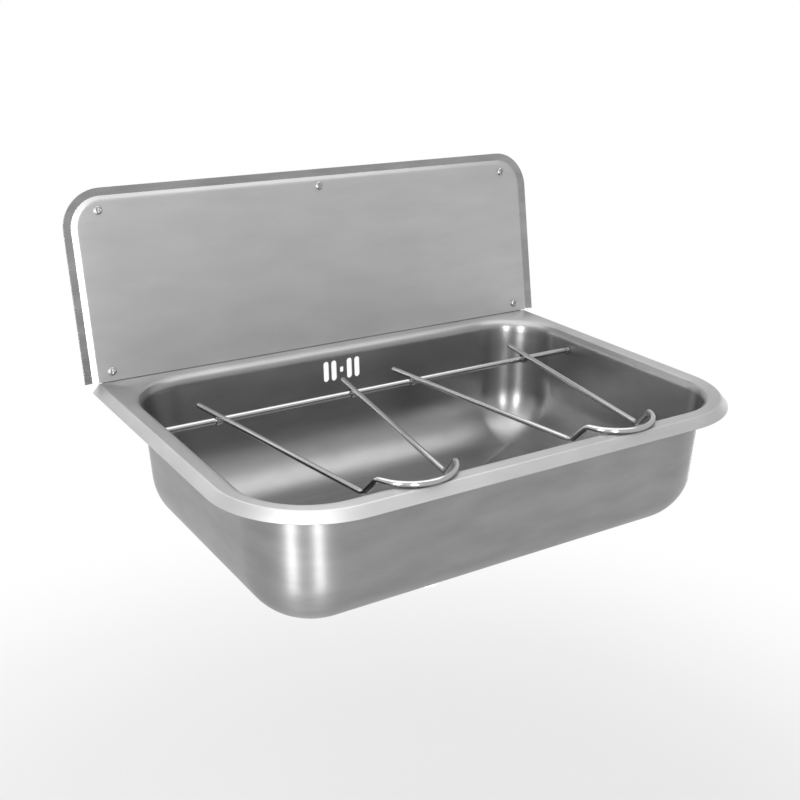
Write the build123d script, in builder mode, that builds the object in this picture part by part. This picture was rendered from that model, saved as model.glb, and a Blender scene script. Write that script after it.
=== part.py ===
"""Wall-mounted utility sink with two folding bucket grids.

A pressed stainless bowl hangs from a wall rail behind its rim. A splash plate
stands on the rear of the rim and leans back to the wall. A round rod crosses
the bowl from side to side, and two wire grids hinge on it. At rest each grid
lies across the bowl and its looped front end lies on the front rim.

Millimetres. X runs along the wall, +Y goes into the wall and +Z is up.
The origin is on the wall, midway between the wall bolts of the rail.
"""

import os
from math import atan, cos, degrees, radians, sin, tan

from build123d import *

# Sheet and gaps
RIM_TOP = 35.0  # height of the rim over the middle of the wall bolts
SHEET = 1.2
FIT_GAP = 0.3  # pieces that lie side by side
WELD_GAP = 0.1  # a welded piece stands this far off its neighbour
BORE_CLEARANCE = 0.05  # radial play of a rod or screw in its bore
BEND_INNER_R = 0.8  # inner radius of a folded sheet

# Rim
RIM_HALF_WIDTH = 292.3
RIM_FRONT = 405.6  # from the seam to the front edge of the flat
RIM_CORNER_R = 96.3
SKIRT_DROP = 9.2
SKIRT_RUN = 7.9  # outward slope of the skirt over its drop
SKIRT_BEND_R = 2.2

# Bowl, set into the rim
FLAT_AT_SIDES = 18.8  # flat rim between the bowl and the edge
FLAT_AT_FRONT = 20.1
FLAT_AT_REAR = 20.3
BOWL_DEPTH = 146.5
BOWL_CORNER_R = 71.0
BOWL_DRAFT = 3.1
BOWL_BOTTOM_R = 64.0
ROLL_R = 11.0
OVERFLOW_DROP = 26.5
OVERFLOW_MIDDLE_X = -2.4
OVERFLOW_SLOTS_X = (10.75, 21.4)
OVERFLOW_LENGTH = 25.2
OVERFLOW_WIDTH = 7.2
OVERFLOW_HOLE_R = 3.5

# Splash plate
SPLASH_LEAN = 10.2  # degrees back from upright
FACE_INSET = 6.8  # the face is this much narrower than the whole sink on each side
FACE_HEIGHT = 195.1  # along the plate, up to the bend
FACE_CORNER_R = 30.0
BEND_RUN = 5.1  # how far the sloping strip runs outward
BEND_DEPTH = 2.5  # how far it drops behind the face
FLANGE_RUN = 8.4
FOOT_GAP = 0.8  # open seam between the plate and the rim
UPSTAND_HEIGHT = 24.0
UPSTAND_INSET = 5.4  # from the side of the face
GASKET = 1.5

# Screws of the splash plate, placed from the edges of its face
SCREW_D = 4.0
SCREW_HOLE_R = 2.25
SCREW_NUT_ACROSS = 7.0
SCREW_NUT = 3.2
SCREW_END_PROUD = 1.2
SCREW_END_EASE = 0.5
SCREW_HEAD_R = 4.8
SCREW_HEAD_H = 2.5
SCREW_HEAD_ROUND = 1.75
RECESS_LENGTH = 5.2
RECESS_WIDTH = 1.1
RECESS_DEPTH = 1.5
TOP_SCREW_FROM_SIDE = 25.5
TOP_SCREW_FROM_TOP = 9.8
MIDDLE_SCREW_FROM_TOP = 6.0
LOWER_SCREW_FROM_SIDE = 17.3
LOWER_SCREW_UP = 11.6
TOP_SCREW_BITE = 3.4  # screw length inside the backing strip

# Backing strip, placed from the edges of the face
STRIP_HEIGHT = 22.4
STRIP_FROM_TOP = 1.7
STRIP_FROM_SIDE = 18.4
STRIP_CORNER = 8.0

# Pivot rod
ROD_D = 6.0
ROD_FROM_SEAM = 117.5
ROD_DROP = 20.0
ROD_END_D = 5.0
ROD_HOLE_R = 2.75
ROD_WASHER_R = 5.3
ROD_WASHER = 1.4
ROD_NUT_ACROSS = 8.0
ROD_NUT = 2.7
ROD_END_PROUD = 1.0

# Bucket grids
WIRE_D = 5.0
WIRE_END_EASE = 0.625
LEFT_GRID_FROM_WALL = 149.6  # middle of the grid to the bowl's side wall
RIGHT_GRID_FROM_WALL = 154.6
ARM_HALF_SPACING = 81.75  # at the rod
ARM_CONVERGENCE = 0.154  # per side, for each mm towards the front
ARM_DROOP = 0.009  # for each mm towards the front
ARM_REAR_LENGTH = 37.0  # free end behind the rod
LOOP_FROM_EDGE = 1.0  # wire's middle to the front edge of the flat rim
RISER_LOW_FROM_WALL = 29.0  # where the wire turns up, to the bowl's front wall
RISER_HIGH_FROM_WALL = 11.0  # where it meets the level loop
RISER_BEND = 4.5  # length each bend takes off the straight parts
RISER_EXIT = 3.6  # from the riser's top to where the loop is fully round
RISER_PULL = 1.35  # how firmly the upper bend holds to the riser
LOOP_PULL = 3.15  # and to the loop
LUG_WIDTH = 5.4
LUG_WALL = 1.8
LUG_EARS = 1.6  # how far the lug reaches up beside the wire

# Wall rail under the rear of the rim
RAIL_FROM_SIDE = 68.5  # end of the rail to the bowl's side wall
RAIL_SHEET = 2.5
RAIL_BEND_R = 4.0
RAIL_WALL_LEG = 64.0
RAIL_RIM_REACH = 10.4  # how far it reaches under the rim, from the seam
RAIL_RIB = 3.0
RAIL_NOTCH_HALF = 80.0  # leaves the wall free behind the overflow
RAIL_NOTCH_DROP = 41.0  # top of the notch, under the rim
WALL_BOLTS_ACROSS = 300.0
WALL_BOLTS_UP = 36.0
WALL_HOLE_R = 4.5
STUD_FROM_SEAM = 5.4
STUD_XS = (-160.0, -50.0, 50.0, 160.0)
STUD_D = 5.0
STUD_LENGTH = 10.5
STUD_HOLE_R = 2.8
STUD_NUT_ACROSS = 8.0
STUD_NUT = 4.0
PLAIN_WASHER_R = 5.0  # under the rail and outside the bowl
PLAIN_WASHER = 1.0

# Waste set
DRAIN_RECESS_R = 47.0
DRAIN_RECESS_DEPTH = 6.0
DRAIN_RECESS_EASE = 2.4
DRAIN_HOLE_R = 30.0
STRAINER_R = 44.0
STRAINER_SHEET = 1.5
DISH_R = 27.0
DISH_DEPTH = 3.0
STRAINER_HOLE_R = 3.0
STRAINER_RING_RS = (10.5, 19.5)
STRAINER_RING_COUNTS = (6, 12)
SEAL_INNER_R = 31.0
SEAL_OUTER_R = 39.0
UPPER_SEAL = 2.0
UPPER_SEAL_INSET = 2.0  # from the strainer's edge
LOWER_SEAL = 2.5
WASTE_FLANGE_R = 40.0
WASTE_FLANGE = 3.0
WASTE_CUP_R = 29.5
WASTE_CUP_DEPTH = 20.0
WASTE_WALL = 3.0
CUP_SHOULDER = 6.0
TAIL_R = 23.9
TAIL_BORE_R = 20.0
TAIL_LENGTH = 45.0
TAIL_EASE = 1.0
SPOKE_COUNT = 3
SPOKE_WIDTH = 4.0
SPOKE_DEPTH = 7.0
BOSS_R = 6.5
BOSS_DROP = 3.0
BOSS_HEIGHT = 8.0
WASTE_SCREW_D = 6.0
WASTE_SCREW_LENGTH = 14.5
WASTE_SCREW_HEAD_R = 5.5
WASTE_SCREW_HEAD = 3.5
WASTE_SLOT_WIDTH = 1.4
WASTE_SLOT_DEPTH = 1.6

# Sizes that follow from the ones above
BOWL_HALF_WIDTH = RIM_HALF_WIDTH - FLAT_AT_SIDES
BOWL_FRONT = RIM_FRONT - FLAT_AT_FRONT
BOWL_REAR = FLAT_AT_REAR
FACE_HALF_WIDTH = RIM_HALF_WIDTH + SKIRT_RUN - FACE_INSET
UPSTAND_HALF_WIDTH = FACE_HALF_WIDTH - UPSTAND_INSET
TOP_SCREW_X = FACE_HALF_WIDTH - TOP_SCREW_FROM_SIDE
TOP_SCREW_UP = FACE_HEIGHT - TOP_SCREW_FROM_TOP
MIDDLE_SCREW_UP = FACE_HEIGHT - MIDDLE_SCREW_FROM_TOP
LOWER_SCREW_X = FACE_HALF_WIDTH - LOWER_SCREW_FROM_SIDE
TOP_SCREW_SPOTS = ((TOP_SCREW_X, TOP_SCREW_UP), (-TOP_SCREW_X, TOP_SCREW_UP), (0, MIDDLE_SCREW_UP))
LOWER_SCREW_SPOTS = ((LOWER_SCREW_X, LOWER_SCREW_UP), (-LOWER_SCREW_X, LOWER_SCREW_UP))
STRIP_HIGH = FACE_HEIGHT - STRIP_FROM_TOP
STRIP_LOW = STRIP_HIGH - STRIP_HEIGHT
STRIP_HALF_LENGTH = FACE_HALF_WIDTH - STRIP_FROM_SIDE
LEFT_GRID_X = LEFT_GRID_FROM_WALL - BOWL_HALF_WIDTH
RIGHT_GRID_X = BOWL_HALF_WIDTH - RIGHT_GRID_FROM_WALL
RAIL_HALF_LENGTH = BOWL_HALF_WIDTH - RAIL_FROM_SIDE
LEAN = radians(SPLASH_LEAN)
BEND_ANGLE = atan(BEND_DEPTH / BEND_RUN)
FLANGE_RISE = FLANGE_RUN * tan(LEAN)  # the flange flares forward, upright at the top
FACE_EDGE_UP = FACE_HEIGHT + BEND_RUN  # up the plate to the start of the flange
SEAM_Y = -(FACE_EDGE_UP * sin(LEAN) + BEND_DEPTH * cos(LEAN) + SHEET)
SKIRT_ANGLE = degrees(atan(SKIRT_RUN / SKIRT_DROP))
SKIRT_SHEET_RUN = SHEET / cos(radians(SKIRT_ANGLE))  # sheet thickness measured level
BOWL_MIDDLE_Y = SEAM_Y - (BOWL_FRONT + BOWL_REAR) / 2
ROD_Y = SEAM_Y - ROD_FROM_SEAM
ROD_Z = RIM_TOP - ROD_DROP
ARM_OVER_ROD = (ROD_D + WIRE_D) / 2 + WELD_GAP
LOOP_OVER_ROD = ROD_DROP + FIT_GAP + WIRE_D / 2
HUNDREDTH = 0.01

# Round front of the grids, worked out so that it runs on from both arms
ARM_ANGLE = atan(ARM_CONVERGENCE)
LOOP_Y = SEAM_Y - RIM_FRONT + LOOP_FROM_EDGE
RISER_START = BOWL_FRONT - RISER_LOW_FROM_WALL
RISER_END = BOWL_FRONT - RISER_HIGH_FROM_WALL
LOOP_SPREAD = ARM_HALF_SPACING + ARM_CONVERGENCE * (LOOP_Y - ROD_Y)
LOOP_R = LOOP_SPREAD * cos(ARM_ANGLE) / (1 - sin(ARM_ANGLE))
LOOP_MIDDLE_Y = LOOP_Y + LOOP_R


def splash_plane(up, depth=0.0, x=0.0):
    """Plane on the leaning plate, `up` along it and `depth` behind its face."""
    y = SEAM_Y + up * sin(LEAN) + depth * cos(LEAN)
    z = RIM_TOP + up * cos(LEAN) - depth * sin(LEAN)
    return Plane(origin=(x, y, z), x_dir=(1, 0, 0), z_dir=(0, -cos(LEAN), sin(LEAN)))


def below_rim(drop):
    """Level plane this far under the top of the rim."""
    return Plane.XY.offset(RIM_TOP - drop)


def bowl_wall_x(drop, inner=True):
    """Half width of the bowl's side wall at a depth under the rim."""
    return BOWL_HALF_WIDTH - (SHEET if inner else 0.0) - drop * tan(radians(BOWL_DRAFT))


# Outlines
def bowl_outline(inset, radius):
    """Rounded rectangle of the bowl in plan, moved in from the outer wall."""
    width = 2 * (BOWL_HALF_WIDTH - inset)
    length = BOWL_FRONT - BOWL_REAR - 2 * inset
    with Locations((0, BOWL_MIDDLE_Y)):
        RectangleRounded(width, length, radius)


def rim_outline(sketch, grow):
    """Rim in plan: square at the seam, rounded at the front."""
    length = RIM_FRONT + grow
    with Locations((0, SEAM_Y)):
        Rectangle(2 * (RIM_HALF_WIDTH + grow), length, align=(Align.CENTER, Align.MAX))
    fillet(sketch.vertices().group_by(Axis.Y)[0], RIM_CORNER_R + grow)


def edge_lies_at(edge, drop):
    """Whether a level edge lies at this depth under the rim."""
    box = edge.bounding_box()
    z = RIM_TOP - drop
    return abs(box.min.Z - z) < HUNDREDTH and abs(box.max.Z - z) < HUNDREDTH


def edge_is_bowl(edge):
    """Whether an edge follows the bowl's outline, not the skirt's."""
    box = edge.bounding_box()
    side = max(abs(box.min.X), abs(box.max.X))
    from_front = box.min.Y - (SEAM_Y - BOWL_FRONT)
    from_rear = SEAM_Y - BOWL_REAR - box.max.Y
    return side < BOWL_HALF_WIDTH and min(from_front, from_rear) > -HUNDREDTH


# Cavity of the bowl
with BuildPart() as bowl_cavity:
    for drop in (0.0, BOWL_DEPTH - SHEET):
        with BuildSketch(below_rim(drop)):
            bowl_outline(SHEET + drop * tan(radians(BOWL_DRAFT)), BOWL_CORNER_R - SHEET)
    loft(ruled=True)
    fillet(bowl_cavity.faces().sort_by(Axis.Z)[0].edges(), BOWL_BOTTOM_R - SHEET)
    with BuildSketch(below_rim(BOWL_DEPTH - SHEET - FIT_GAP)):
        with Locations((0, BOWL_MIDDLE_Y)):
            Circle(DRAIN_RECESS_R)
    extrude(amount=-DRAIN_RECESS_DEPTH - FIT_GAP)

# Sink bowl: rim, skirt, deep drawn bowl and rear upstand in one sheet
with BuildPart() as sink_bowl:
    # The rim and its sloping skirt, hollow underneath
    for drop, grow in ((0.0, 0.0), (SKIRT_DROP, SKIRT_RUN)):
        with BuildSketch(below_rim(drop)) as rim_section:
            rim_outline(rim_section, grow)
    loft(ruled=True)
    skirt_bend = sink_bowl.faces().sort_by(Axis.Z)[-1].edges()
    seam_edges = skirt_bend.group_by(Axis.Y)[-1]
    fillet([edge for edge in skirt_bend if edge not in seam_edges], SKIRT_BEND_R)
    for drop, grow in ((SHEET, SKIRT_RUN * SHEET / SKIRT_DROP), (SKIRT_DROP, SKIRT_RUN)):
        with BuildSketch(below_rim(drop)) as hollow_section:
            rim_outline(hollow_section, grow - SKIRT_SHEET_RUN)
    loft(ruled=True, mode=Mode.SUBTRACT)

    # The drawn bowl below it, with the pressed recess for the waste
    for drop in (SHEET, BOWL_DEPTH):
        with BuildSketch(below_rim(drop)):
            bowl_outline(drop * tan(radians(BOWL_DRAFT)), BOWL_CORNER_R)
    loft(ruled=True)
    fillet(sink_bowl.faces().sort_by(Axis.Z)[0].edges(), BOWL_BOTTOM_R)
    under_roll = sink_bowl.edges().filter_by(lambda edge: edge_lies_at(edge, SHEET))
    fillet([edge for edge in under_roll if edge_is_bowl(edge)], ROLL_R - SHEET)
    with BuildSketch(below_rim(BOWL_DEPTH - SHEET)):
        with Locations((0, BOWL_MIDDLE_Y)):
            Circle(DRAIN_RECESS_R + SHEET)
    extrude(amount=-DRAIN_RECESS_DEPTH - SHEET)
    add(bowl_cavity.part, mode=Mode.SUBTRACT)
    roll = sink_bowl.faces().sort_by(Axis.Z)[-1].inner_wires()[0].edges()
    fillet(roll, ROLL_R)

    # Overflow slots and their middle hole in the rear wall
    overflow_middle = (OVERFLOW_MIDDLE_X, SEAM_Y, RIM_TOP - OVERFLOW_DROP)
    overflow = Plane(origin=overflow_middle, x_dir=(1, 0, 0), z_dir=(0, -1, 0))
    with BuildSketch(overflow):
        for x in OVERFLOW_SLOTS_X:
            with Locations((x, 0), (-x, 0)):
                SlotOverall(OVERFLOW_LENGTH, OVERFLOW_WIDTH, rotation=90)
        Circle(OVERFLOW_HOLE_R)
    extrude(amount=2 * BOWL_REAR, mode=Mode.SUBTRACT)

    # Hole for the waste in the floor of its recess
    with Locations(below_rim(BOWL_DEPTH)):
        with Locations((0, BOWL_MIDDLE_Y)):
            Cylinder(DRAIN_HOLE_R, 3 * DRAIN_RECESS_DEPTH, mode=Mode.SUBTRACT)
    recess_mouth = sink_bowl.edges().filter_by(lambda edge: edge_lies_at(edge, BOWL_DEPTH - SHEET))
    fillet(recess_mouth.filter_by(GeomType.CIRCLE).sort_by(lambda edge: edge.radius)[:1], DRAIN_RECESS_EASE)

    # Holes for the ends of the pivot rod
    with Locations((0, ROD_Y, ROD_Z)):
        Cylinder(ROD_HOLE_R, 2 * RIM_HALF_WIDTH, rotation=(0, 90, 0), mode=Mode.SUBTRACT)

    # Upstand behind the splash plate, folded up from the rear of the rim
    back_of_gasket = SHEET + GASKET
    back_of_upstand = back_of_gasket + SHEET
    inner_y = back_of_gasket / cos(LEAN)
    outer_y = (back_of_upstand - SHEET * sin(LEAN)) / cos(LEAN)
    top_front = splash_plane(UPSTAND_HEIGHT, back_of_gasket).origin
    top_back = splash_plane(UPSTAND_HEIGHT, back_of_upstand).origin
    with BuildSketch(Plane.YZ.offset(-UPSTAND_HALF_WIDTH)) as upstand_profile:
        with BuildLine():
            Polyline(
                (SEAM_Y - HUNDREDTH, RIM_TOP),
                (SEAM_Y + inner_y, RIM_TOP),
                (top_front.Y, top_front.Z),
                (top_back.Y, top_back.Z),
                (SEAM_Y + outer_y, RIM_TOP - SHEET),
                (SEAM_Y - HUNDREDTH, RIM_TOP - SHEET),
                close=True,
            )
        make_face()
        inner_fold = upstand_profile.vertices().sort_by_distance((SEAM_Y + inner_y, RIM_TOP))[0]
        fillet(inner_fold, BEND_INNER_R)
        outer_fold = upstand_profile.vertices().sort_by_distance((SEAM_Y + outer_y, RIM_TOP - SHEET))[0]
        fillet(outer_fold, BEND_INNER_R + SHEET)
    extrude(amount=2 * UPSTAND_HALF_WIDTH)
    with Locations(splash_plane(LOWER_SCREW_UP, back_of_gasket)):
        with Locations((LOWER_SCREW_X, 0), (-LOWER_SCREW_X, 0)):
            Cylinder(SCREW_HOLE_R, 4 * SHEET, mode=Mode.SUBTRACT)

    # Studs welded under the rear of the rim for the wall rail
    with Locations(below_rim(SHEET)):
        with Locations([(x, SEAM_Y - STUD_FROM_SEAM) for x in STUD_XS]):
            Cylinder(STUD_D / 2, STUD_LENGTH, align=(Align.CENTER, Align.CENTER, Align.MAX))
sink_bowl.part.label = "sink_bowl"

# Splash plate: flat panel with a joggled border on three sides
with BuildPart() as splash_plate:
    with BuildSketch(splash_plane(0)):
        Rectangle(2 * FACE_HALF_WIDTH, FACE_HEIGHT, align=(Align.CENTER, Align.MIN))
    extrude(amount=-SHEET)
    upright = splash_plate.faces().sort_by(Axis.Z)[-1].edges().filter_by(lambda edge: edge.length < 2 * SHEET)
    fillet(upright, FACE_CORNER_R)
    foot = -2 * SHEET  # starts below the rim and is cut off level afterwards
    arc_in = FACE_CORNER_R * (1 - cos(radians(45)))
    with BuildLine(splash_plane(0)) as border_path:
        left_up = (-FACE_HALF_WIDTH, FACE_HEIGHT - FACE_CORNER_R)
        left_in = (-FACE_HALF_WIDTH + FACE_CORNER_R, FACE_HEIGHT)
        right_in = (FACE_HALF_WIDTH - FACE_CORNER_R, FACE_HEIGHT)
        right_up = (FACE_HALF_WIDTH, FACE_HEIGHT - FACE_CORNER_R)
        Line((-FACE_HALF_WIDTH, foot), left_up)
        ThreePointArc(left_up, (-FACE_HALF_WIDTH + arc_in, FACE_HEIGHT - arc_in), left_in)
        Line(left_in, right_in)
        ThreePointArc(right_in, (FACE_HALF_WIDTH - arc_in, FACE_HEIGHT - arc_in), right_up)
        Line(right_up, (FACE_HALF_WIDTH, foot))
    path_start = splash_plane(foot, 0, -FACE_HALF_WIDTH).origin
    across = Plane(origin=path_start, x_dir=(-1, 0, 0), z_dir=(0, sin(LEAN), cos(LEAN)))
    with BuildSketch(across) as border_profile:
        slope = SHEET * tan(BEND_ANGLE / 2)
        flare = SHEET * tan((BEND_ANGLE + LEAN) / 2)
        flange_x = BEND_RUN + FLANGE_RUN
        flange_y = FLANGE_RISE - BEND_DEPTH
        flare_back = (
            BEND_RUN - SHEET * sin(BEND_ANGLE) + flare * cos(BEND_ANGLE),
            -BEND_DEPTH - SHEET * cos(BEND_ANGLE) - flare * sin(BEND_ANGLE),
        )
        with BuildLine():
            Polyline(
                (-BEND_RUN, 0),
                (0, 0),
                (BEND_RUN, -BEND_DEPTH),
                (flange_x, flange_y),
                (flange_x + SHEET * sin(LEAN), flange_y - SHEET * cos(LEAN)),
                flare_back,
                (-slope, -SHEET),
                (-BEND_RUN, -SHEET),
                close=True,
            )
        make_face()
        for outer_fold in ((0, 0), flare_back):
            fillet(border_profile.vertices().sort_by_distance(outer_fold)[0], BEND_INNER_R + SHEET)
        for inner_fold in ((BEND_RUN, -BEND_DEPTH), (-slope, -SHEET)):
            fillet(border_profile.vertices().sort_by_distance(inner_fold)[0], BEND_INNER_R)
    sweep(border_profile.sketch, path=border_path.line)
    with Locations(splash_plane(0)):
        with Locations(*TOP_SCREW_SPOTS):
            Cylinder(SCREW_HOLE_R, 4 * SHEET, mode=Mode.SUBTRACT)
        with Locations(*LOWER_SCREW_SPOTS):
            Cylinder(SCREW_HOLE_R, 4 * SHEET, mode=Mode.SUBTRACT)
    split(bisect_by=below_rim(-FOOT_GAP), keep=Keep.TOP)
splash_plate.part.label = "splash_plate"

# Gasket between the splash plate and the upstand
with BuildPart() as splash_gasket:
    with BuildSketch(splash_plane(0, SHEET)):
        Rectangle(2 * UPSTAND_HALF_WIDTH, UPSTAND_HEIGHT - GASKET, align=(Align.CENTER, Align.MIN))
        with Locations(*LOWER_SCREW_SPOTS):
            Circle(SCREW_HOLE_R, mode=Mode.SUBTRACT)
    extrude(amount=-GASKET)
    split(bisect_by=below_rim(-FOOT_GAP + WELD_GAP), keep=Keep.TOP)
splash_gasket.part.label = "splash_gasket"

# Backing strip: a wedge between the top of the splash plate and the wall
with BuildPart() as backing_strip:
    strip_low = splash_plane(STRIP_LOW, SHEET).origin
    strip_high = splash_plane(STRIP_HIGH, SHEET).origin
    with BuildSketch(Plane.YZ.offset(-STRIP_HALF_LENGTH)):
        with BuildLine():
            Polyline(
                (strip_low.Y, strip_low.Z),
                (strip_high.Y, strip_high.Z),
                (0, strip_high.Z),
                (0, strip_low.Z),
                close=True,
            )
        make_face()
    extrude(amount=2 * STRIP_HALF_LENGTH)
    ends = backing_strip.faces().filter_by(Axis.X)
    chamfer([face.edges().sort_by(Axis.Z)[-1] for face in ends], STRIP_CORNER)
    with Locations(splash_plane(0, SHEET)):
        with Locations(*TOP_SCREW_SPOTS):
            Cylinder(
                SCREW_D / 2 + BORE_CLEARANCE,
                TOP_SCREW_BITE + FIT_GAP,
                align=(Align.CENTER, Align.CENTER, Align.MAX),
                mode=Mode.SUBTRACT,
            )
backing_strip.part.label = "backing_strip"


# Screws and nuts, each drawn once and then placed
def pan_screw(length):
    """Round-topped cross-slot screw with its head on the plane z = 0."""
    with BuildPart() as screw:
        Cylinder(SCREW_HEAD_R, SCREW_HEAD_H, align=(Align.CENTER, Align.CENTER, Align.MIN))
        fillet(screw.edges().sort_by(Axis.Z)[-1], SCREW_HEAD_ROUND)
        Cylinder(SCREW_D / 2, length, align=(Align.CENTER, Align.CENTER, Align.MAX))
        chamfer(screw.edges().sort_by(Axis.Z)[0], SCREW_END_EASE)
        with Locations((0, 0, SCREW_HEAD_H)):
            for turn in (0, 90):
                Box(
                    RECESS_LENGTH,
                    RECESS_WIDTH,
                    2 * RECESS_DEPTH,
                    rotation=(0, 0, turn),
                    mode=Mode.SUBTRACT,
                )
    return screw.part


def hex_nut(across, height, bore_r):
    """Six-sided nut below the plane z = 0, its corners turned down half way."""
    corner_r = across / 2 / cos(radians(30))
    with BuildPart() as nut:
        with BuildSketch():
            RegularPolygon(across / 2, 6, major_radius=False)
        extrude(amount=-height)
        with BuildSketch():
            Circle((across / 2 + corner_r) / 2)
        extrude(amount=-height, mode=Mode.INTERSECT)
        Hole(bore_r)
    return nut.part


# Screws of the splash plate
with BuildPart() as top_screws:
    screw = pan_screw(SHEET + TOP_SCREW_BITE)
    with Locations(splash_plane(0)):
        with Locations(*TOP_SCREW_SPOTS):
            add(screw)
top_screws.part.label = "top_screws"

CLAMPED = 2 * SHEET + GASKET
with BuildPart() as lower_screws:
    screw = pan_screw(CLAMPED + WELD_GAP + SCREW_NUT + SCREW_END_PROUD)
    with Locations(splash_plane(0)):
        with Locations(*LOWER_SCREW_SPOTS):
            add(screw)
lower_screws.part.label = "lower_screws"

with BuildPart() as lower_screw_nuts:
    nut = hex_nut(SCREW_NUT_ACROSS, SCREW_NUT, SCREW_D / 2 + BORE_CLEARANCE)
    with Locations(splash_plane(0, CLAMPED + WELD_GAP)):
        with Locations(*LOWER_SCREW_SPOTS):
            add(nut)
lower_screw_nuts.part.label = "lower_screw_nuts"

# Wall rail: a folded angle with welded ribs, under the rear of the rim
RAIL_TOP = RIM_TOP - SHEET
RAIL_BOTTOM = RAIL_TOP - RAIL_WALL_LEG
RAIL_FRONT = SEAM_Y - RAIL_RIM_REACH
with BuildPart() as wall_rail:
    with BuildSketch(Plane.YZ.offset(-RAIL_HALF_LENGTH)) as rail_profile:
        with BuildLine():
            Polyline(
                (0, RAIL_TOP),
                (0, RAIL_BOTTOM),
                (-RAIL_SHEET, RAIL_BOTTOM),
                (-RAIL_SHEET, RAIL_TOP - RAIL_SHEET),
                (RAIL_FRONT, RAIL_TOP - RAIL_SHEET),
                (RAIL_FRONT, RAIL_TOP),
                close=True,
            )
        make_face()
        fillet(rail_profile.vertices().sort_by_distance((0, RAIL_TOP))[0], RAIL_BEND_R)
        inner_corner = (-RAIL_SHEET, RAIL_TOP - RAIL_SHEET)
        fillet(rail_profile.vertices().sort_by_distance(inner_corner)[0], RAIL_BEND_R - RAIL_SHEET)
    extrude(amount=2 * RAIL_HALF_LENGTH)
    ribs = (-RAIL_HALF_LENGTH, -RAIL_NOTCH_HALF - RAIL_RIB, RAIL_NOTCH_HALF, RAIL_HALF_LENGTH - RAIL_RIB)
    for x in ribs:
        with BuildSketch(Plane.YZ.offset(x)):
            with BuildLine():
                Polyline(
                    (-RAIL_SHEET / 2, RAIL_TOP - RAIL_SHEET / 2),
                    (-RAIL_SHEET / 2, RAIL_BOTTOM + RAIL_SHEET),
                    (-2 * RAIL_SHEET, RAIL_BOTTOM + RAIL_SHEET),
                    (RAIL_FRONT + RAIL_SHEET, RAIL_TOP - 2 * RAIL_SHEET),
                    (RAIL_FRONT + RAIL_SHEET, RAIL_TOP - RAIL_SHEET / 2),
                    close=True,
                )
            make_face()
        extrude(amount=RAIL_RIB)
    with Locations(Plane.XZ):
        with GridLocations(WALL_BOLTS_ACROSS, WALL_BOLTS_UP, 2, 2):
            Cylinder(WALL_HOLE_R, 4 * RAIL_SHEET, mode=Mode.SUBTRACT)
    with Locations([(x, SEAM_Y - STUD_FROM_SEAM, RAIL_TOP) for x in STUD_XS]):
        Cylinder(STUD_HOLE_R, 4 * RAIL_SHEET, mode=Mode.SUBTRACT)
    with Locations((0, 0, RIM_TOP - RAIL_NOTCH_DROP)):
        Box(
            2 * RAIL_NOTCH_HALF,
            4 * RAIL_SHEET,
            RAIL_WALL_LEG,
            align=(Align.CENTER, Align.CENTER, Align.MAX),
            mode=Mode.SUBTRACT,
        )
wall_rail.part.label = "wall_rail"

# Washers and nuts under the rail
STUD_SPOTS = [(x, SEAM_Y - STUD_FROM_SEAM) for x in STUD_XS]
with BuildPart() as rail_washers:
    with BuildSketch(below_rim(SHEET + RAIL_SHEET)):
        with Locations(*STUD_SPOTS):
            Circle(PLAIN_WASHER_R)
            Circle(STUD_HOLE_R, mode=Mode.SUBTRACT)
    extrude(amount=-PLAIN_WASHER)
rail_washers.part.label = "rail_washers"

with BuildPart() as rail_nuts:
    nut = hex_nut(STUD_NUT_ACROSS, STUD_NUT, STUD_D / 2 + BORE_CLEARANCE)
    with Locations(below_rim(SHEET + RAIL_SHEET + PLAIN_WASHER)):
        with Locations(*STUD_SPOTS):
            add(nut)
rail_nuts.part.label = "rail_nuts"

# Pivot rod, thinner where its ends pass through the bowl's side walls
WASHER_X = bowl_wall_x(ROD_DROP + ROD_WASHER_R) - WELD_GAP
OUTER_X = bowl_wall_x(ROD_DROP - ROD_WASHER_R, inner=False) + WELD_GAP
ROD_END_X = OUTER_X + PLAIN_WASHER + ROD_NUT + ROD_END_PROUD
ROD_PLANE = Plane(origin=(0, ROD_Y, ROD_Z), x_dir=(0, 1, 0), z_dir=(1, 0, 0))
with BuildPart() as pivot_rod:
    with Locations(ROD_PLANE):
        Cylinder(ROD_D / 2, 2 * (WASHER_X - ROD_WASHER))
        Cylinder(ROD_END_D / 2, 2 * ROD_END_X)
    chamfer(pivot_rod.edges().group_by(Axis.X)[-1], ROD_END_PROUD / 2)
    chamfer(pivot_rod.edges().group_by(Axis.X)[0], ROD_END_PROUD / 2)
pivot_rod.part.label = "pivot_rod"


# Washers and nuts at the rod's ends
with BuildPart() as rod_inner_washers:
    for side in (-1, 1):
        with BuildSketch(Plane(origin=(side * WASHER_X, ROD_Y, ROD_Z), x_dir=(0, 1, 0), z_dir=(-side, 0, 0))):
            Circle(ROD_WASHER_R)
            Circle(ROD_END_D / 2 + BORE_CLEARANCE, mode=Mode.SUBTRACT)
        extrude(amount=ROD_WASHER)
rod_inner_washers.part.label = "rod_inner_washers"

with BuildPart() as rod_outer_washers:
    for side in (-1, 1):
        with BuildSketch(Plane(origin=(side * OUTER_X, ROD_Y, ROD_Z), x_dir=(0, 1, 0), z_dir=(side, 0, 0))):
            Circle(PLAIN_WASHER_R)
            Circle(ROD_END_D / 2 + BORE_CLEARANCE, mode=Mode.SUBTRACT)
        extrude(amount=PLAIN_WASHER)
rod_outer_washers.part.label = "rod_outer_washers"

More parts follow.
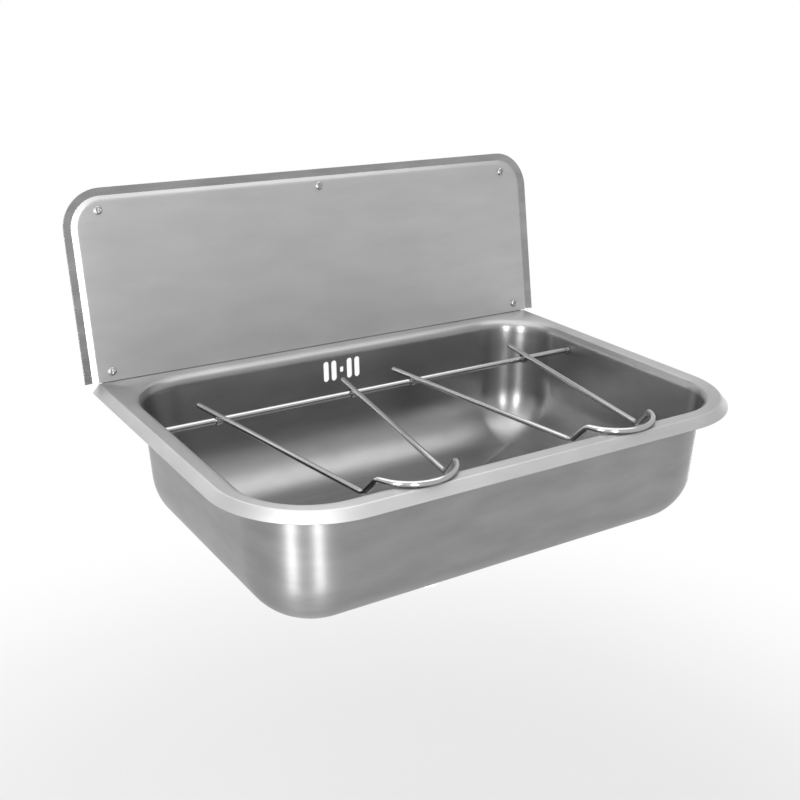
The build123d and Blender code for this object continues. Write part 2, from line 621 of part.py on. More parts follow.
with BuildPart() as rod_nuts:
    nut = hex_nut(ROD_NUT_ACROSS, ROD_NUT, ROD_END_D / 2 + BORE_CLEARANCE)
    for side in (-1, 1):
        x = side * (OUTER_X + PLAIN_WASHER)
        with Locations(Plane(origin=(x, ROD_Y, ROD_Z), x_dir=(0, 1, 0), z_dir=(-side, 0, 0))):
            add(nut)
rod_nuts.part.label = "rod_nuts"


# Bucket grid: one wire bent into two arms and a raised round front
def arm_point(from_seam, side):
    """Point on the middle line of an arm, which lies on the rod and droops to the front."""
    y = SEAM_Y - from_seam
    x = ARM_HALF_SPACING + ARM_CONVERGENCE * (y - ROD_Y)
    return Vector(side * x, y, ROD_Z + ARM_OVER_ROD + ARM_DROOP * (y - ROD_Y))


def loop_point(from_seam, side, z):
    """Point on the round front of the wire."""
    y = SEAM_Y - from_seam
    return Vector(side * (LOOP_R**2 - (LOOP_MIDDLE_Y - y) ** 2) ** 0.5, y, z)


def side_of_wire(side):
    """Corner points of one side of the wire, from its free end to the loop."""
    loop_z = ROD_Z + LOOP_OVER_ROD
    free_end = arm_point(ROD_FROM_SEAM - ARM_REAR_LENGTH, side)
    low_bend = arm_point(RISER_START, side)
    high_bend = loop_point(RISER_END, side, loop_z)
    along_arm = (low_bend - free_end).normalized()
    up_riser = (high_bend - low_bend).normalized()
    on_loop = loop_point(RISER_END + RISER_EXIT, side, loop_z)
    around = Vector(side * (on_loop.Y - LOOP_MIDDLE_Y), -side * on_loop.X, 0).normalized()
    return free_end, low_bend, high_bend, along_arm, up_riser, on_loop, around


with BuildPart() as grid_wire:
    with BuildLine() as wire_path:
        for side in (-1, 1):
            free_end, low_bend, high_bend, along_arm, up_riser, on_loop, around = side_of_wire(side)
            before_low = low_bend - along_arm * RISER_BEND
            after_low = low_bend + up_riser * RISER_BEND
            before_high = high_bend - up_riser * RISER_BEND
            Line(free_end, before_low)
            Bezier(before_low, low_bend, after_low)
            Line(after_low, before_high)
            riser_pull = high_bend - up_riser * RISER_PULL
            loop_pull = on_loop - around * LOOP_PULL
            Bezier(before_high, riser_pull, loop_pull, on_loop)
        front = Vector(0, LOOP_Y, ROD_Z + LOOP_OVER_ROD)
        ThreePointArc((-on_loop.X, on_loop.Y, on_loop.Z), front, on_loop)
    with BuildSketch(Plane(origin=wire_path.line @ 0, x_dir=(1, 0, 0), z_dir=wire_path.line % 0)):
        Circle(WIRE_D / 2)
    sweep(path=wire_path.wires()[0])
    fillet(grid_wire.edges().filter_by(GeomType.CIRCLE).group_by(Axis.Y)[-1], WIRE_END_EASE)

# Lugs: straps bent around the rod and welded under the arms
with BuildPart() as grid_lug_pair:
    lug_inner = ROD_D / 2 + BORE_CLEARANCE
    lug_outer = lug_inner + LUG_WALL
    for side in (-1, 1):
        x = side * ARM_HALF_SPACING
        lug_top = ARM_OVER_ROD - WIRE_D / 2 + LUG_EARS
        with BuildSketch(Plane(origin=(x - LUG_WIDTH / 2, ROD_Y, ROD_Z), x_dir=(0, 1, 0), z_dir=(1, 0, 0))):
            Circle(lug_outer)
            Rectangle(2 * lug_outer, lug_outer, align=(Align.CENTER, Align.MIN), mode=Mode.SUBTRACT)
            Rectangle(2 * lug_outer, lug_top, align=(Align.CENTER, Align.MIN))
            Circle(lug_inner, mode=Mode.SUBTRACT)
            Rectangle(2 * lug_inner, lug_top, align=(Align.CENTER, Align.MIN), mode=Mode.SUBTRACT)
        extrude(amount=LUG_WIDTH)
        seat = arm_point(ROD_FROM_SEAM, side)
        with Locations(Plane(origin=seat, x_dir=(0, 0, 1), z_dir=side_of_wire(side)[3])):
            Cylinder(WIRE_D / 2 + WELD_GAP, 4 * lug_outer, mode=Mode.SUBTRACT)

with BuildPart() as left_bucket_grid:
    with Locations((LEFT_GRID_X, 0, 0)):
        add(grid_wire.part)
left_bucket_grid.part.label = "left_bucket_grid"

with BuildPart() as left_grid_lugs:
    with Locations((LEFT_GRID_X, 0, 0)):
        add(grid_lug_pair.part)
left_grid_lugs.part.label = "left_grid_lugs"

with BuildPart() as right_bucket_grid:
    with Locations((RIGHT_GRID_X, 0, 0)):
        add(grid_wire.part)
right_bucket_grid.part.label = "right_bucket_grid"

with BuildPart() as right_grid_lugs:
    with Locations((RIGHT_GRID_X, 0, 0)):
        add(grid_lug_pair.part)
right_grid_lugs.part.label = "right_grid_lugs"

# Waste set, stacked through the hole in the recess
RECESS_FLOOR = RIM_TOP - BOWL_DEPTH + SHEET - DRAIN_RECESS_DEPTH
STRAINER_TOP = RECESS_FLOOR + UPPER_SEAL + STRAINER_SHEET
BODY_TOP = RECESS_FLOOR - SHEET - LOWER_SEAL
DISH_TOP = STRAINER_TOP - DISH_DEPTH


def drain_plane(z):
    """Level plane centred on the drain."""
    return Plane(origin=(0, BOWL_MIDDLE_Y, z), x_dir=(1, 0, 0), z_dir=(0, 0, 1))


DRAIN_SECTION = Plane(origin=(0, BOWL_MIDDLE_Y, 0), x_dir=(1, 0, 0), z_dir=(0, -1, 0))
DRAIN_AXIS = Axis((0, BOWL_MIDDLE_Y, 0), (0, 0, 1))

with BuildPart() as upper_seal:
    with BuildSketch(drain_plane(RECESS_FLOOR)):
        Circle(STRAINER_R - UPPER_SEAL_INSET)
        Circle(SEAL_INNER_R, mode=Mode.SUBTRACT)
    extrude(amount=UPPER_SEAL)
upper_seal.part.label = "upper_seal"

with BuildPart() as lower_seal:
    with BuildSketch(drain_plane(BODY_TOP)):
        Circle(SEAL_OUTER_R)
        Circle(SEAL_INNER_R, mode=Mode.SUBTRACT)
    extrude(amount=LOWER_SEAL)
lower_seal.part.label = "lower_seal"

with BuildPart() as strainer_plate:
    with BuildSketch(DRAIN_SECTION):
        with BuildLine():
            Polyline(
                (0, DISH_TOP),
                (DISH_R - DISH_DEPTH, DISH_TOP),
                (DISH_R, STRAINER_TOP),
                (STRAINER_R, STRAINER_TOP),
                (STRAINER_R, STRAINER_TOP - STRAINER_SHEET),
                (DISH_R + STRAINER_SHEET / 2, STRAINER_TOP - STRAINER_SHEET),
                (DISH_R + STRAINER_SHEET / 2 - DISH_DEPTH, DISH_TOP - STRAINER_SHEET),
                (0, DISH_TOP - STRAINER_SHEET),
                close=True,
            )
        make_face()
    revolve(axis=DRAIN_AXIS)
    with Locations(drain_plane(DISH_TOP)):
        Cylinder(WASTE_SCREW_D / 2 + WELD_GAP, 4 * STRAINER_SHEET, mode=Mode.SUBTRACT)
        for ring_r, count in zip(STRAINER_RING_RS, STRAINER_RING_COUNTS):
            with PolarLocations(ring_r, count):
                Cylinder(STRAINER_HOLE_R, 4 * STRAINER_SHEET, mode=Mode.SUBTRACT)
strainer_plate.part.label = "strainer_plate"

with BuildPart() as waste_screw:
    with Locations(drain_plane(DISH_TOP)):
        Cylinder(WASTE_SCREW_HEAD_R, WASTE_SCREW_HEAD, align=(Align.CENTER, Align.CENTER, Align.MIN))
        fillet(waste_screw.edges().sort_by(Axis.Z)[-1], WASTE_SCREW_HEAD / 2)
        Cylinder(WASTE_SCREW_D / 2, WASTE_SCREW_LENGTH, align=(Align.CENTER, Align.CENTER, Align.MAX))
        with Locations((0, 0, WASTE_SCREW_HEAD)):
            Box(3 * WASTE_SCREW_HEAD_R, WASTE_SLOT_WIDTH, 2 * WASTE_SLOT_DEPTH, mode=Mode.SUBTRACT)
waste_screw.part.label = "waste_screw"

with BuildPart() as waste_body:
    cup_low = BODY_TOP - WASTE_CUP_DEPTH
    tail_high = cup_low - CUP_SHOULDER
    with BuildSketch(DRAIN_SECTION):
        with BuildLine():
            Polyline(
                (WASTE_CUP_R - WASTE_WALL, BODY_TOP),
                (WASTE_FLANGE_R, BODY_TOP),
                (WASTE_FLANGE_R, BODY_TOP - WASTE_FLANGE),
                (WASTE_CUP_R, BODY_TOP - WASTE_FLANGE),
                (WASTE_CUP_R, cup_low),
                (TAIL_R, tail_high),
                (TAIL_R, tail_high - TAIL_LENGTH),
                (TAIL_BORE_R, tail_high - TAIL_LENGTH),
                (TAIL_BORE_R, tail_high + WASTE_WALL / 2),
                (WASTE_CUP_R - WASTE_WALL, cup_low + WASTE_WALL / 2),
                close=True,
            )
        make_face()
    revolve(axis=DRAIN_AXIS)
    chamfer(waste_body.edges().sort_by(Axis.Z)[:2].sort_by(lambda edge: edge.radius)[-1], TAIL_EASE)
    boss_top = BODY_TOP - BOSS_DROP
    spoke_reach = WASTE_CUP_R - WASTE_WALL / 2
    with Locations(drain_plane(boss_top)):
        Cylinder(BOSS_R, BOSS_HEIGHT, align=(Align.CENTER, Align.CENTER, Align.MAX))
        with PolarLocations(spoke_reach / 2, SPOKE_COUNT):
            Box(spoke_reach, SPOKE_WIDTH, SPOKE_DEPTH, align=(Align.CENTER, Align.CENTER, Align.MAX))
        Cylinder(WASTE_SCREW_D / 2 + BORE_CLEARANCE, 3 * BOSS_HEIGHT, mode=Mode.SUBTRACT)
waste_body.part.label = "waste_body"

# Hand over
os.makedirs("parts", exist_ok=True)
for name in (
    sink_bowl,
    splash_plate,
    splash_gasket,
    backing_strip,
    top_screws,
    lower_screws,
    lower_screw_nuts,
    wall_rail,
    rail_washers,
    rail_nuts,
    pivot_rod,
    rod_inner_washers,
    rod_outer_washers,
    rod_nuts,
    left_bucket_grid,
    left_grid_lugs,
    right_bucket_grid,
    right_grid_lugs,
    upper_seal,
    strainer_plate,
    waste_screw,
    lower_seal,
    waste_body,
):
    export_step(name.part, f"parts/{name.part.label}.step")
    box = name.part.bounding_box()
    print(name.part.label, round(name.part.volume), len(name.solids()), name.part.is_valid, box)
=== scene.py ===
# %% [markdown]
# # A wall-mounted utility sink, dressed
# The real sink is pressed from one stainless sheet, with a leaning splash plate, a round
# rod across the bowl and two folding bucket grids of bent wire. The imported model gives
# every piece its place and size. This lesson lays smooth skins over the large sheets and
# wires, gives every piece its metal, rubber or plastic, and sets the light and the camera.

# %% Load the frame
import math

import bpy
import numpy as np
from mathutils import Matrix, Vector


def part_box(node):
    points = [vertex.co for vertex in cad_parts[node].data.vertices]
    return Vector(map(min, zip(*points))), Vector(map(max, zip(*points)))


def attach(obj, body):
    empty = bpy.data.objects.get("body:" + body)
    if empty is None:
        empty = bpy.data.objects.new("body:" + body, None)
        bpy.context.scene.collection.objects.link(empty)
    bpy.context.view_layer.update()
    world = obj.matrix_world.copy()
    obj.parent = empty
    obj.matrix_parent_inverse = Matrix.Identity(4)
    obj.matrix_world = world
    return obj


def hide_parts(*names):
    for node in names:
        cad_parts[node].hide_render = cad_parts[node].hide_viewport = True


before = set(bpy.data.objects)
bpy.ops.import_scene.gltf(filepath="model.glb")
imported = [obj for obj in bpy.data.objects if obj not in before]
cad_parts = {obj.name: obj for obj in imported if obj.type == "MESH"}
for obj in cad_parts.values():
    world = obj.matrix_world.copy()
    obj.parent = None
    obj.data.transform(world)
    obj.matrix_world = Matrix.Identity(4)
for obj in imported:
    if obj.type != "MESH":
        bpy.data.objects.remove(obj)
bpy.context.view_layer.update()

MM = 0.001
TOUCH = 0.01 * MM  # two places nearer than this are taken as one

# %% [markdown]
# ## Sizes that the pieces share
# A skin has to lie exactly on the solid it stands for. The places come from the boxes of
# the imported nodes, and only what a box can't tell, such as a bend radius or the lean of
# the plate, is written here as a real size.

# %% Shared sizes
SHEET = 1.2 * MM
RIM_FRONT = 405.6 * MM  # seam to front edge of the flat rim
SKIRT_RUN = 7.9 * MM
SKIRT_DROP = 9.2 * MM
LEAN = math.radians(10.2)  # splash plate, back from upright

bowl_low, bowl_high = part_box("sink_bowl")
_, rail_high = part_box("wall_rail")
rod_low, rod_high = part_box("pivot_rod")
RIM_TOP = rail_high[2] + SHEET
RIM_HALF_WIDTH = bowl_high[0] - SKIRT_RUN
SEAM_Y = bowl_low[1] + SKIRT_RUN + RIM_FRONT
ROD_Y = (rod_low[1] + rod_high[1]) / 2
ROD_Z = (rod_low[2] + rod_high[2]) / 2
print("rim top", RIM_TOP, "seam", SEAM_Y, "rod", ROD_Y, ROD_Z)

# %% [markdown]
# ## A skin made of patches
# A pressed sheet is one surface, but rim, wall and floor follow different rules. Each of
# them is a patch: a grid of points with rows and columns. Patches share the point numbers
# of a common edge, so the skin has no gaps. Every face corner also keeps its distance
# along and across the sheet as (u, v), in metres, which later guides the brush marks.


# %% Skin builder
class Skin:
    """Patches of points that share edges; each square of a patch is one face."""

    def __init__(self):
        self.points = np.zeros((0, 3))
        self.squares = []
        self.places = []
        self.finishes = []
        self.caps = []

    def grid(self, points):
        """Adds points of shape (rows, columns, 3) and gives back their numbers."""
        rows, columns = points.shape[:2]
        numbers = len(self.points) + np.arange(rows * columns).reshape(rows, columns)
        self.points = np.vstack([self.points, points.reshape(-1, 3)])
        return numbers

    def cover(self, numbers, u, v, keep=None, finish=0):
        """Faces on the squares of a grid of numbers, or on those that `keep` marks.

        u and v are places on the sheet, one for each number or one for each row or column.
        finish is the number of the material, one for all squares or one for each of them.
        """

        def corners(grid):
            return np.stack([grid[:-1, :-1], grid[:-1, 1:], grid[1:, 1:], grid[1:, :-1]], axis=-1)

        squares = corners(numbers)
        places = np.stack([corners(np.broadcast_to(way, numbers.shape)) for way in (u, v)], axis=-1)
        keep = np.ones(squares.shape[:2], bool) if keep is None else keep
        self.squares.append(squares[keep])
        self.places.append(places[keep])
        self.finishes.append(np.broadcast_to(finish, keep.shape)[keep])

    def make(self, name):
        """Mesh object at the origin, smooth, with its (u, v) places in metres."""
        squares = np.vstack(self.squares)
        places = np.vstack(self.places).reshape(-1, 2)
        flat = [self.points[cap][:, [0, 2]] for cap in self.caps]
        mesh = bpy.data.meshes.new(name)
        mesh.from_pydata(self.points.tolist(), [], squares.tolist() + [cap.tolist() for cap in self.caps])
        layer = mesh.uv_layers.new(name="brushing")
        layer.uv.foreach_set("vector", np.vstack([places] + flat).astype(np.float32).ravel())
        mesh.polygons.foreach_set("use_smooth", np.ones(len(mesh.polygons), bool))
        finishes = np.concatenate(self.finishes + [np.zeros(len(self.caps), int)]).astype(np.int32)
        mesh.polygons.foreach_set("material_index", finishes)
        mesh.update()
        piece = bpy.data.objects.new(name, mesh)
        bpy.context.scene.collection.objects.link(piece)
        print(name, len(mesh.vertices), "points", len(mesh.polygons), "faces")
        return piece


def running_length(points):
    """Distance from the first point, measured along the line through the points."""
    steps = np.linalg.norm(np.diff(points, axis=0), axis=1)
    return np.concatenate([[0.0], np.cumsum(steps)])


def arc(middle, radius, start, stop, count):
    """Points of a circle in a flat section, angles in degrees from the first axis."""
    angle = np.radians(np.linspace(start, stop, count))
    return np.stack([middle[0] + radius * np.cos(angle), middle[1] + radius * np.sin(angle)], axis=1)


def line(a, b, share):
    """Points at the given shares of the way from a to b."""
    return np.outer(1 - share, a) + np.outer(share, b)


def direction(a, b):
    """Unit vector from a to b."""
    return (b - a) / np.linalg.norm(b - a)


def ring(numbers):
    """Rows of a grid with their first column repeated at the end, so that they close."""
    return np.concatenate([numbers, numbers[:, :1]], axis=1)


def at_heights(plan, z):
    """Rows of plan points, shape (rows, columns, 2), each row lifted to its own height."""
    z = np.broadcast_to(np.reshape(z, (-1, 1, 1)), plan.shape[:2] + (1,))
    return np.concatenate([plan, z], axis=2)


# %% [markdown]
# ## Sheet thickness and cut edges
# The skins are only the side of the sheet that the eye meets first. Solidify gives them
# the real 1.2 mm, away from that side, and a very small Bevel breaks the cut edges, which
# on the real sink catch a thin line of light.


# %% Thickness and edges
def thicken(piece, thickness, edge, back_finish=0):
    """Gives a skin its thickness behind the visible side and eases its cut edges."""
    wall = piece.modifiers.new("sheet", "SOLIDIFY")
    wall.thickness = thickness
    wall.offset = -1
    wall.use_even_offset = True
    wall.material_offset = back_finish
    ease = piece.modifiers.new("cut edges", "BEVEL")
    ease.width = edge
    ease.segments = 2
    ease.limit_method = "ANGLE"
    ease.angle_limit = math.radians(50)
    ease.harden_normals = True


# %% [markdown]
# ## Plan of the bowl and of the rim
# Seen from above the bowl is a rectangle with round corners. The rim around it is round
# only at the front, because the splash plate meets it in a straight seam. Both outlines
# are walked in the same direction with the same number of columns: rear wall, rear left
# corner, left wall, front left corner, front wall, and back along the right side. With
# equal columns, the flat rim is simply stretched between the two.

# %% Columns around the bowl
BOWL_HALF_WIDTH = 273.5 * MM
BOWL_FRONT = 385.5 * MM
BOWL_REAR = 20.3 * MM
BOWL_CORNER_R = 71.0 * MM
RIM_CORNER_R = 96.3 * MM
UPSTAND_HALF_WIDTH = 288.0 * MM
OVERFLOW_X = -2.4 * MM
SLOT_PITCH = 10.7 * MM  # middle to middle of two overflow slots
CELL_COLUMNS = 8  # columns in the part of the wall that holds one slot
CELLS = 5

panel_half = SLOT_PITCH * CELLS / 2
panel_x = OVERFLOW_X + np.linspace(panel_half, -panel_half, CELLS * CELL_COLUMNS + 1)
straight_half = BOWL_HALF_WIDTH - BOWL_CORNER_R
PANEL_START = 11  # columns of the rear wall before the overflow, and as many after it
right_x = np.linspace(straight_half, panel_x[0], PANEL_START + 1)[:-1]
left_x = np.linspace(panel_x[-1], -straight_half, PANEL_START + 1)[1:]
rear_x = np.concatenate([right_x, panel_x, left_x])

CORNER_STEPS = 28
SIDE_STEPS = 20
FRONT_STEPS = 40
CORNER_COLUMNS = CORNER_STEPS - 1  # the two ends of a corner belong to its neighbours
SEAM_COLUMNS = CORNER_COLUMNS // 2  # the part of a rear corner that the rim has on its seam
side_share = np.linspace(0, 1, SIDE_STEPS + 1)
front_share = np.linspace(0, 1, FRONT_STEPS + 1)


def corner(x, y, radius, start):
    """Quarter circle without its two end points."""
    return arc((x, y), radius, start, start + 90, CORNER_STEPS + 1)[1:-1]


def bowl_loop(inset, radius):
    """Closed outline of the bowl, moved in from its outer wall: four lines, four arcs."""
    half = BOWL_HALF_WIDTH - inset
    rear = SEAM_Y - BOWL_REAR - inset
    front = SEAM_Y - BOWL_FRONT + inset
    wide, near, far = half - radius, rear - radius, front + radius
    return np.vstack([
        np.stack([rear_x / straight_half * wide, np.full(len(rear_x), rear)], axis=1),
        corner(-wide, near, radius, 90),
        line((-half, near), (-half, far), side_share),
        corner(-wide, far, radius, 180),
        line((-wide, front), (wide, front), front_share),
        corner(wide, far, radius, 270),
        line((half, far), (half, near), side_share),
        corner(wide, near, radius, 0),
    ])


def rim_loop(grow):
    """Outline of the rim with the bowl's columns: square at the seam, round in front."""
    half = RIM_HALF_WIDTH + grow
    radius = RIM_CORNER_R + grow
    front = SEAM_Y - RIM_FRONT - grow
    wide, far = half - radius, front + radius
    near = SEAM_Y - BOWL_REAR - BOWL_CORNER_R
    to_upstand = np.linspace(straight_half, UPSTAND_HALF_WIDTH, SEAM_COLUMNS + 1)[1:]
    along_rear = np.stack([np.append(to_upstand, half), np.full(SEAM_COLUMNS + 1, SEAM_Y)], axis=1)
    down_side = np.linspace(SEAM_Y, near, CORNER_COLUMNS - SEAM_COLUMNS + 1)[1:-1]
    down_side = np.stack([np.full(len(down_side), half), down_side], axis=1)
    right_corner = np.vstack([along_rear, down_side])
    return np.vstack([
        np.stack([rear_x, np.full(len(rear_x), SEAM_Y)], axis=1),
        right_corner * (-1, 1),
        line((-half, near), (-half, far), side_share),
        corner(-wide, far, radius, 180),
        line((-wide, front), (wide, front), front_share),
        corner(wide, far, radius, 270),
        line((half, far), (half, near), side_share),
        right_corner[::-1],
    ])


COLUMNS = len(rim_loop(0.0))
assert COLUMNS == len(bowl_loop(0.0, BOWL_CORNER_R))
print("columns around the bowl:", COLUMNS)

# %% [markdown]
# ## The bowl, from the flat rim down to the waste
# The press rolls the rim over into the wall, draws the wall down with a little draft, and
# turns it into the floor with a large radius. Here that section is a list of rows: how
# far in, how deep, and how round the corners are in plan. Sweeping it round the outline
# gives the corners their double curve without any modelling by hand.

# %% Section of the bowl
BOWL_DEPTH = 146.5 * MM
BOWL_DRAFT = math.radians(3.1)
BOWL_BOTTOM_R = 64.0 * MM
ROLL_R = 11.0 * MM
OVERFLOW_DROP = 26.5 * MM
CELL_HALF_HEIGHT = 14.6 * MM
CELL_ROWS = 12
ROLL_STEPS = 16
ROLL_BRIGHT_ROWS = 6  # the rim's finish ends on the roll, at about a third of its turn
WALL_STEPS = 5  # from the overflow down to the bottom radius
BOTTOM_STEPS = 17

draft = math.tan(BOWL_DRAFT)
corner_r = BOWL_CORNER_R - SHEET
roll_middle = ROLL_R / math.cos(BOWL_DRAFT) - ROLL_R * draft  # outward from the wall's top
roll_turn = np.linspace(0, math.pi / 2 - BOWL_DRAFT, ROLL_STEPS + 1)
roll_out = roll_middle - ROLL_R * np.sin(roll_turn)
roll_drop = ROLL_R - ROLL_R * np.cos(roll_turn)

floor_r = BOWL_BOTTOM_R - SHEET
floor_drop = BOWL_DEPTH - SHEET
turn_drop = floor_drop - floor_r
turn_in = turn_drop * draft + floor_r / math.cos(BOWL_DRAFT)
bottom_turn = np.linspace(BOWL_DRAFT, math.pi / 2, BOTTOM_STEPS + 1)
fillet_in = turn_in - floor_r * np.cos(bottom_turn)
fillet_drop = turn_drop + floor_r * np.sin(bottom_turn)

panel_drop = OVERFLOW_DROP + np.linspace(-CELL_HALF_HEIGHT, CELL_HALF_HEIGHT, CELL_ROWS + 1)
lower_drop = np.linspace(panel_drop[-1], fillet_drop[0], WALL_STEPS + 1)[1:-1]
wall_drop = np.concatenate([panel_drop, lower_drop])

section_in = SHEET + np.concatenate([-roll_out, wall_drop * draft, fillet_in])
section_drop = np.concatenate([roll_drop, wall_drop, fillet_drop])
section_r = np.concatenate([
    corner_r + roll_out,
    np.full(len(wall_drop), corner_r),
    corner_r - (fillet_in - fillet_in[0]),
])
print("rows from the rim to the floor:", len(section_in))

# %% Bowl grid
bowl_rows = np.stack([bowl_loop(i, r) for i, r in zip(section_in, section_r)])
bowl_points = at_heights(bowl_rows, RIM_TOP - section_drop)
print("bowl points:", bowl_points.shape[:2])

# %% [markdown]
# The flat rim has the bowl's first row as its inner edge and the rim's outline, less the
# bend of the skirt, as its outer edge. The floor runs from the last row to the round
# recess of the waste, which is a small bowl of its own with a hole in it.

# %% Rim and floor rows
SKIRT_BEND_R = 2.2 * MM
RIM_STEPS = 5
skirt_slope = math.atan2(SKIRT_DROP, SKIRT_RUN)
bend_back = SKIRT_BEND_R * math.tan(skirt_slope / 2)
share = np.linspace(0, 1, RIM_STEPS + 1)[:-1, None, None]
rim_points = at_heights((1 - share) * rim_loop(-bend_back) + share * bowl_rows[0], RIM_TOP)

RECESS_R = 47.0 * MM
RECESS_DEPTH = 6.0 * MM
RECESS_EASE = 2.4 * MM
RECESS_FOOT = 1.2 * MM
RECESS_RING_R = 38.0 * MM  # a row of points half-way over the level part
WASTE_HOLE_R = 30.0 * MM
FLOOR_STEPS = 6
bowl_middle = np.array([0.0, SEAM_Y - (BOWL_FRONT + BOWL_REAR) / 2])
outward = bowl_rows[-1] - bowl_middle
outward /= np.linalg.norm(outward, axis=1, keepdims=True)
mouth = arc((RECESS_R + RECESS_EASE, floor_drop + RECESS_EASE), RECESS_EASE, 270, 180, 6)
foot = arc((RECESS_R - RECESS_FOOT, floor_drop + RECESS_DEPTH - RECESS_FOOT), RECESS_FOOT, 0, 90, 5)
hole = np.array([[RECESS_RING_R, foot[-1, 1]], [WASTE_HOLE_R, foot[-1, 1]]])
recess = np.vstack([mouth, foot, hole])
recess_xy = bowl_middle + recess[:, None, :1] * outward
recess_points = at_heights(recess_xy, RIM_TOP - recess[:, 1])
share = np.linspace(0, 1, FLOOR_STEPS + 1)[1:-1, None, None]
floor_points = at_heights((1 - share) * bowl_rows[-1] + share * recess_xy[0], RIM_TOP - floor_drop)
print("rows: rim", len(rim_points), "floor", len(floor_points), "recess", len(recess_points))

# %% [markdown]
# ## Overflow
# Four upright slots and a round hole are punched through the rear wall. Cutting them with
# a boolean would leave long thin faces that spoil the reflection. Instead the wall keeps a
# window of five cells, and each cell is a ring of faces from its border to the edge of its
# opening, so the wall stays perfectly flat around it.

# %% Skin of the sink
sink_skin = Skin()
rows = np.concatenate([rim_points, bowl_points, floor_points, recess_points])
numbers = sink_skin.grid(rows)
closed = ring(numbers)
around = running_length(np.vstack([bowl_points[0], bowl_points[0][:1]]))
down = running_length(rows[:, rows.shape[1] // 2])
keep = np.ones((closed.shape[0] - 1, closed.shape[1] - 1), bool)
first_row = len(rim_points) + len(roll_out)
keep[first_row:first_row + CELL_ROWS, PANEL_START:PANEL_START + CELLS * CELL_COLUMNS] = False
INSIDE, RIM, OUTSIDE, SKIRT = range(4)  # finishes of the one sheet
finish = np.where(np.arange(len(keep)) < len(rim_points) + ROLL_BRIGHT_ROWS, RIM, INSIDE)
sink_skin.cover(closed, around, down[:, None], keep, finish[:, None])
print("faces left out for the overflow:", np.count_nonzero(~keep))


# %% Slots and hole
def opening_edge(across, up, half_width, straight, end_turn):
    """Edge of a slot or hole, matched to a cell's border.

    across and up run from -1 to 1 over the cell. A point with across at 1 goes to the
    straight side, and every other one to a round end. For a round hole the straight part
    is zero and the end takes only part of the half circle. The columns draw together a
    little towards the floor, so only the widest point of a cell reaches 1. The others of
    the upright border gather at the ends of the straight sides: a slot keeps its outline,
    while the hole has flat sides.
    """
    side = np.abs(across) >= 1
    angle = np.where(side, up * (np.pi / 2 - end_turn), across * end_turn)
    level, upright = half_width * np.cos(angle), half_width * np.sin(angle)
    side_point = np.stack([np.sign(across) * level, up * straight + upright], axis=-1)
    end_point = np.stack([upright, np.sign(up) * (straight + level)], axis=-1)
    return np.where(side[:, None], side_point, end_point)


SLOT_HALF_WIDTH = 3.6 * MM
SLOT_STRAIGHT = 9.0 * MM
HOLE_R = 3.5 * MM
CELL_RINGS = 4
for cell in range(CELLS):
    c = PANEL_START + cell * CELL_COLUMNS
    block = closed[first_row:first_row + CELL_ROWS + 1, c:c + CELL_COLUMNS + 1]
    border = np.concatenate([block[0, :-1], block[:-1, -1], block[-1, :0:-1], block[:0:-1, 0]])
    is_hole = cell == CELLS // 2
    edge = sink_skin.points[border]
    middle = edge.mean(axis=0)
    size = np.abs(edge - middle).max(axis=0)
    shape = (HOLE_R, 0.0, np.pi / 4) if is_hole else (SLOT_HALF_WIDTH, SLOT_STRAIGHT, np.pi / 2)
    across, up = ((edge - middle) / size)[:, [0, 2]].T
    x, z = opening_edge(across, up, *shape).T
    cut = middle + np.stack([x, z * draft, z], axis=-1)
    share = np.linspace(0, 1, CELL_RINGS)[1:, None, None]
    rings = ring(np.vstack([border, sink_skin.grid((1 - share) * edge + share * cut)]))
    x, z = sink_skin.points[rings][..., [0, 2]].transpose(2, 0, 1)
    sink_skin.cover(rings, around[PANEL_START] + panel_half - x, down[first_row] - z + edge[0, 2])
print("overflow cells:", CELLS)

# %% [markdown]
# ## Skirt and upstand
# On three sides the rim is folded down into a short sloping skirt that ends square at the
# seam. Behind the seam the sheet goes on for a few millimetres and folds up behind the
# splash plate, where two screws hold the plate to it. Both strips start on the rim's own
# edge points.

# %% Skirt
SKIRT_BEND_STEPS = 7
SKIRT_BREAK = 0.6  # share of the run and drop at which the straight part has a row
angle = np.linspace(0, skirt_slope, SKIRT_BEND_STEPS + 1)
bend = np.stack([-bend_back + SKIRT_BEND_R * np.sin(angle),
                 SKIRT_BEND_R - SKIRT_BEND_R * np.cos(angle)], axis=1)
straight = np.outer([SKIRT_BREAK, 1.0], [SKIRT_RUN, SKIRT_DROP])
skirt = np.vstack([bend, straight])  # (outward, down)
skirt_columns = np.arange(len(rear_x) + SEAM_COLUMNS, COLUMNS - SEAM_COLUMNS)
skirt_xy = np.stack([rim_loop(grow)[skirt_columns] for grow in skirt[1:, 0]])
skirt_numbers = sink_skin.grid(at_heights(skirt_xy, RIM_TOP - skirt[1:, 1]))
skirt_all = np.vstack([numbers[0, skirt_columns], skirt_numbers])[::-1]
# The skirt's faces take the rim's brushing with its colour painted lighter, as painted light.
sink_skin.cover(skirt_all, around[skirt_columns], -running_length(skirt)[::-1, None], finish=SKIRT)
print("columns of the skirt:", len(skirt_columns))

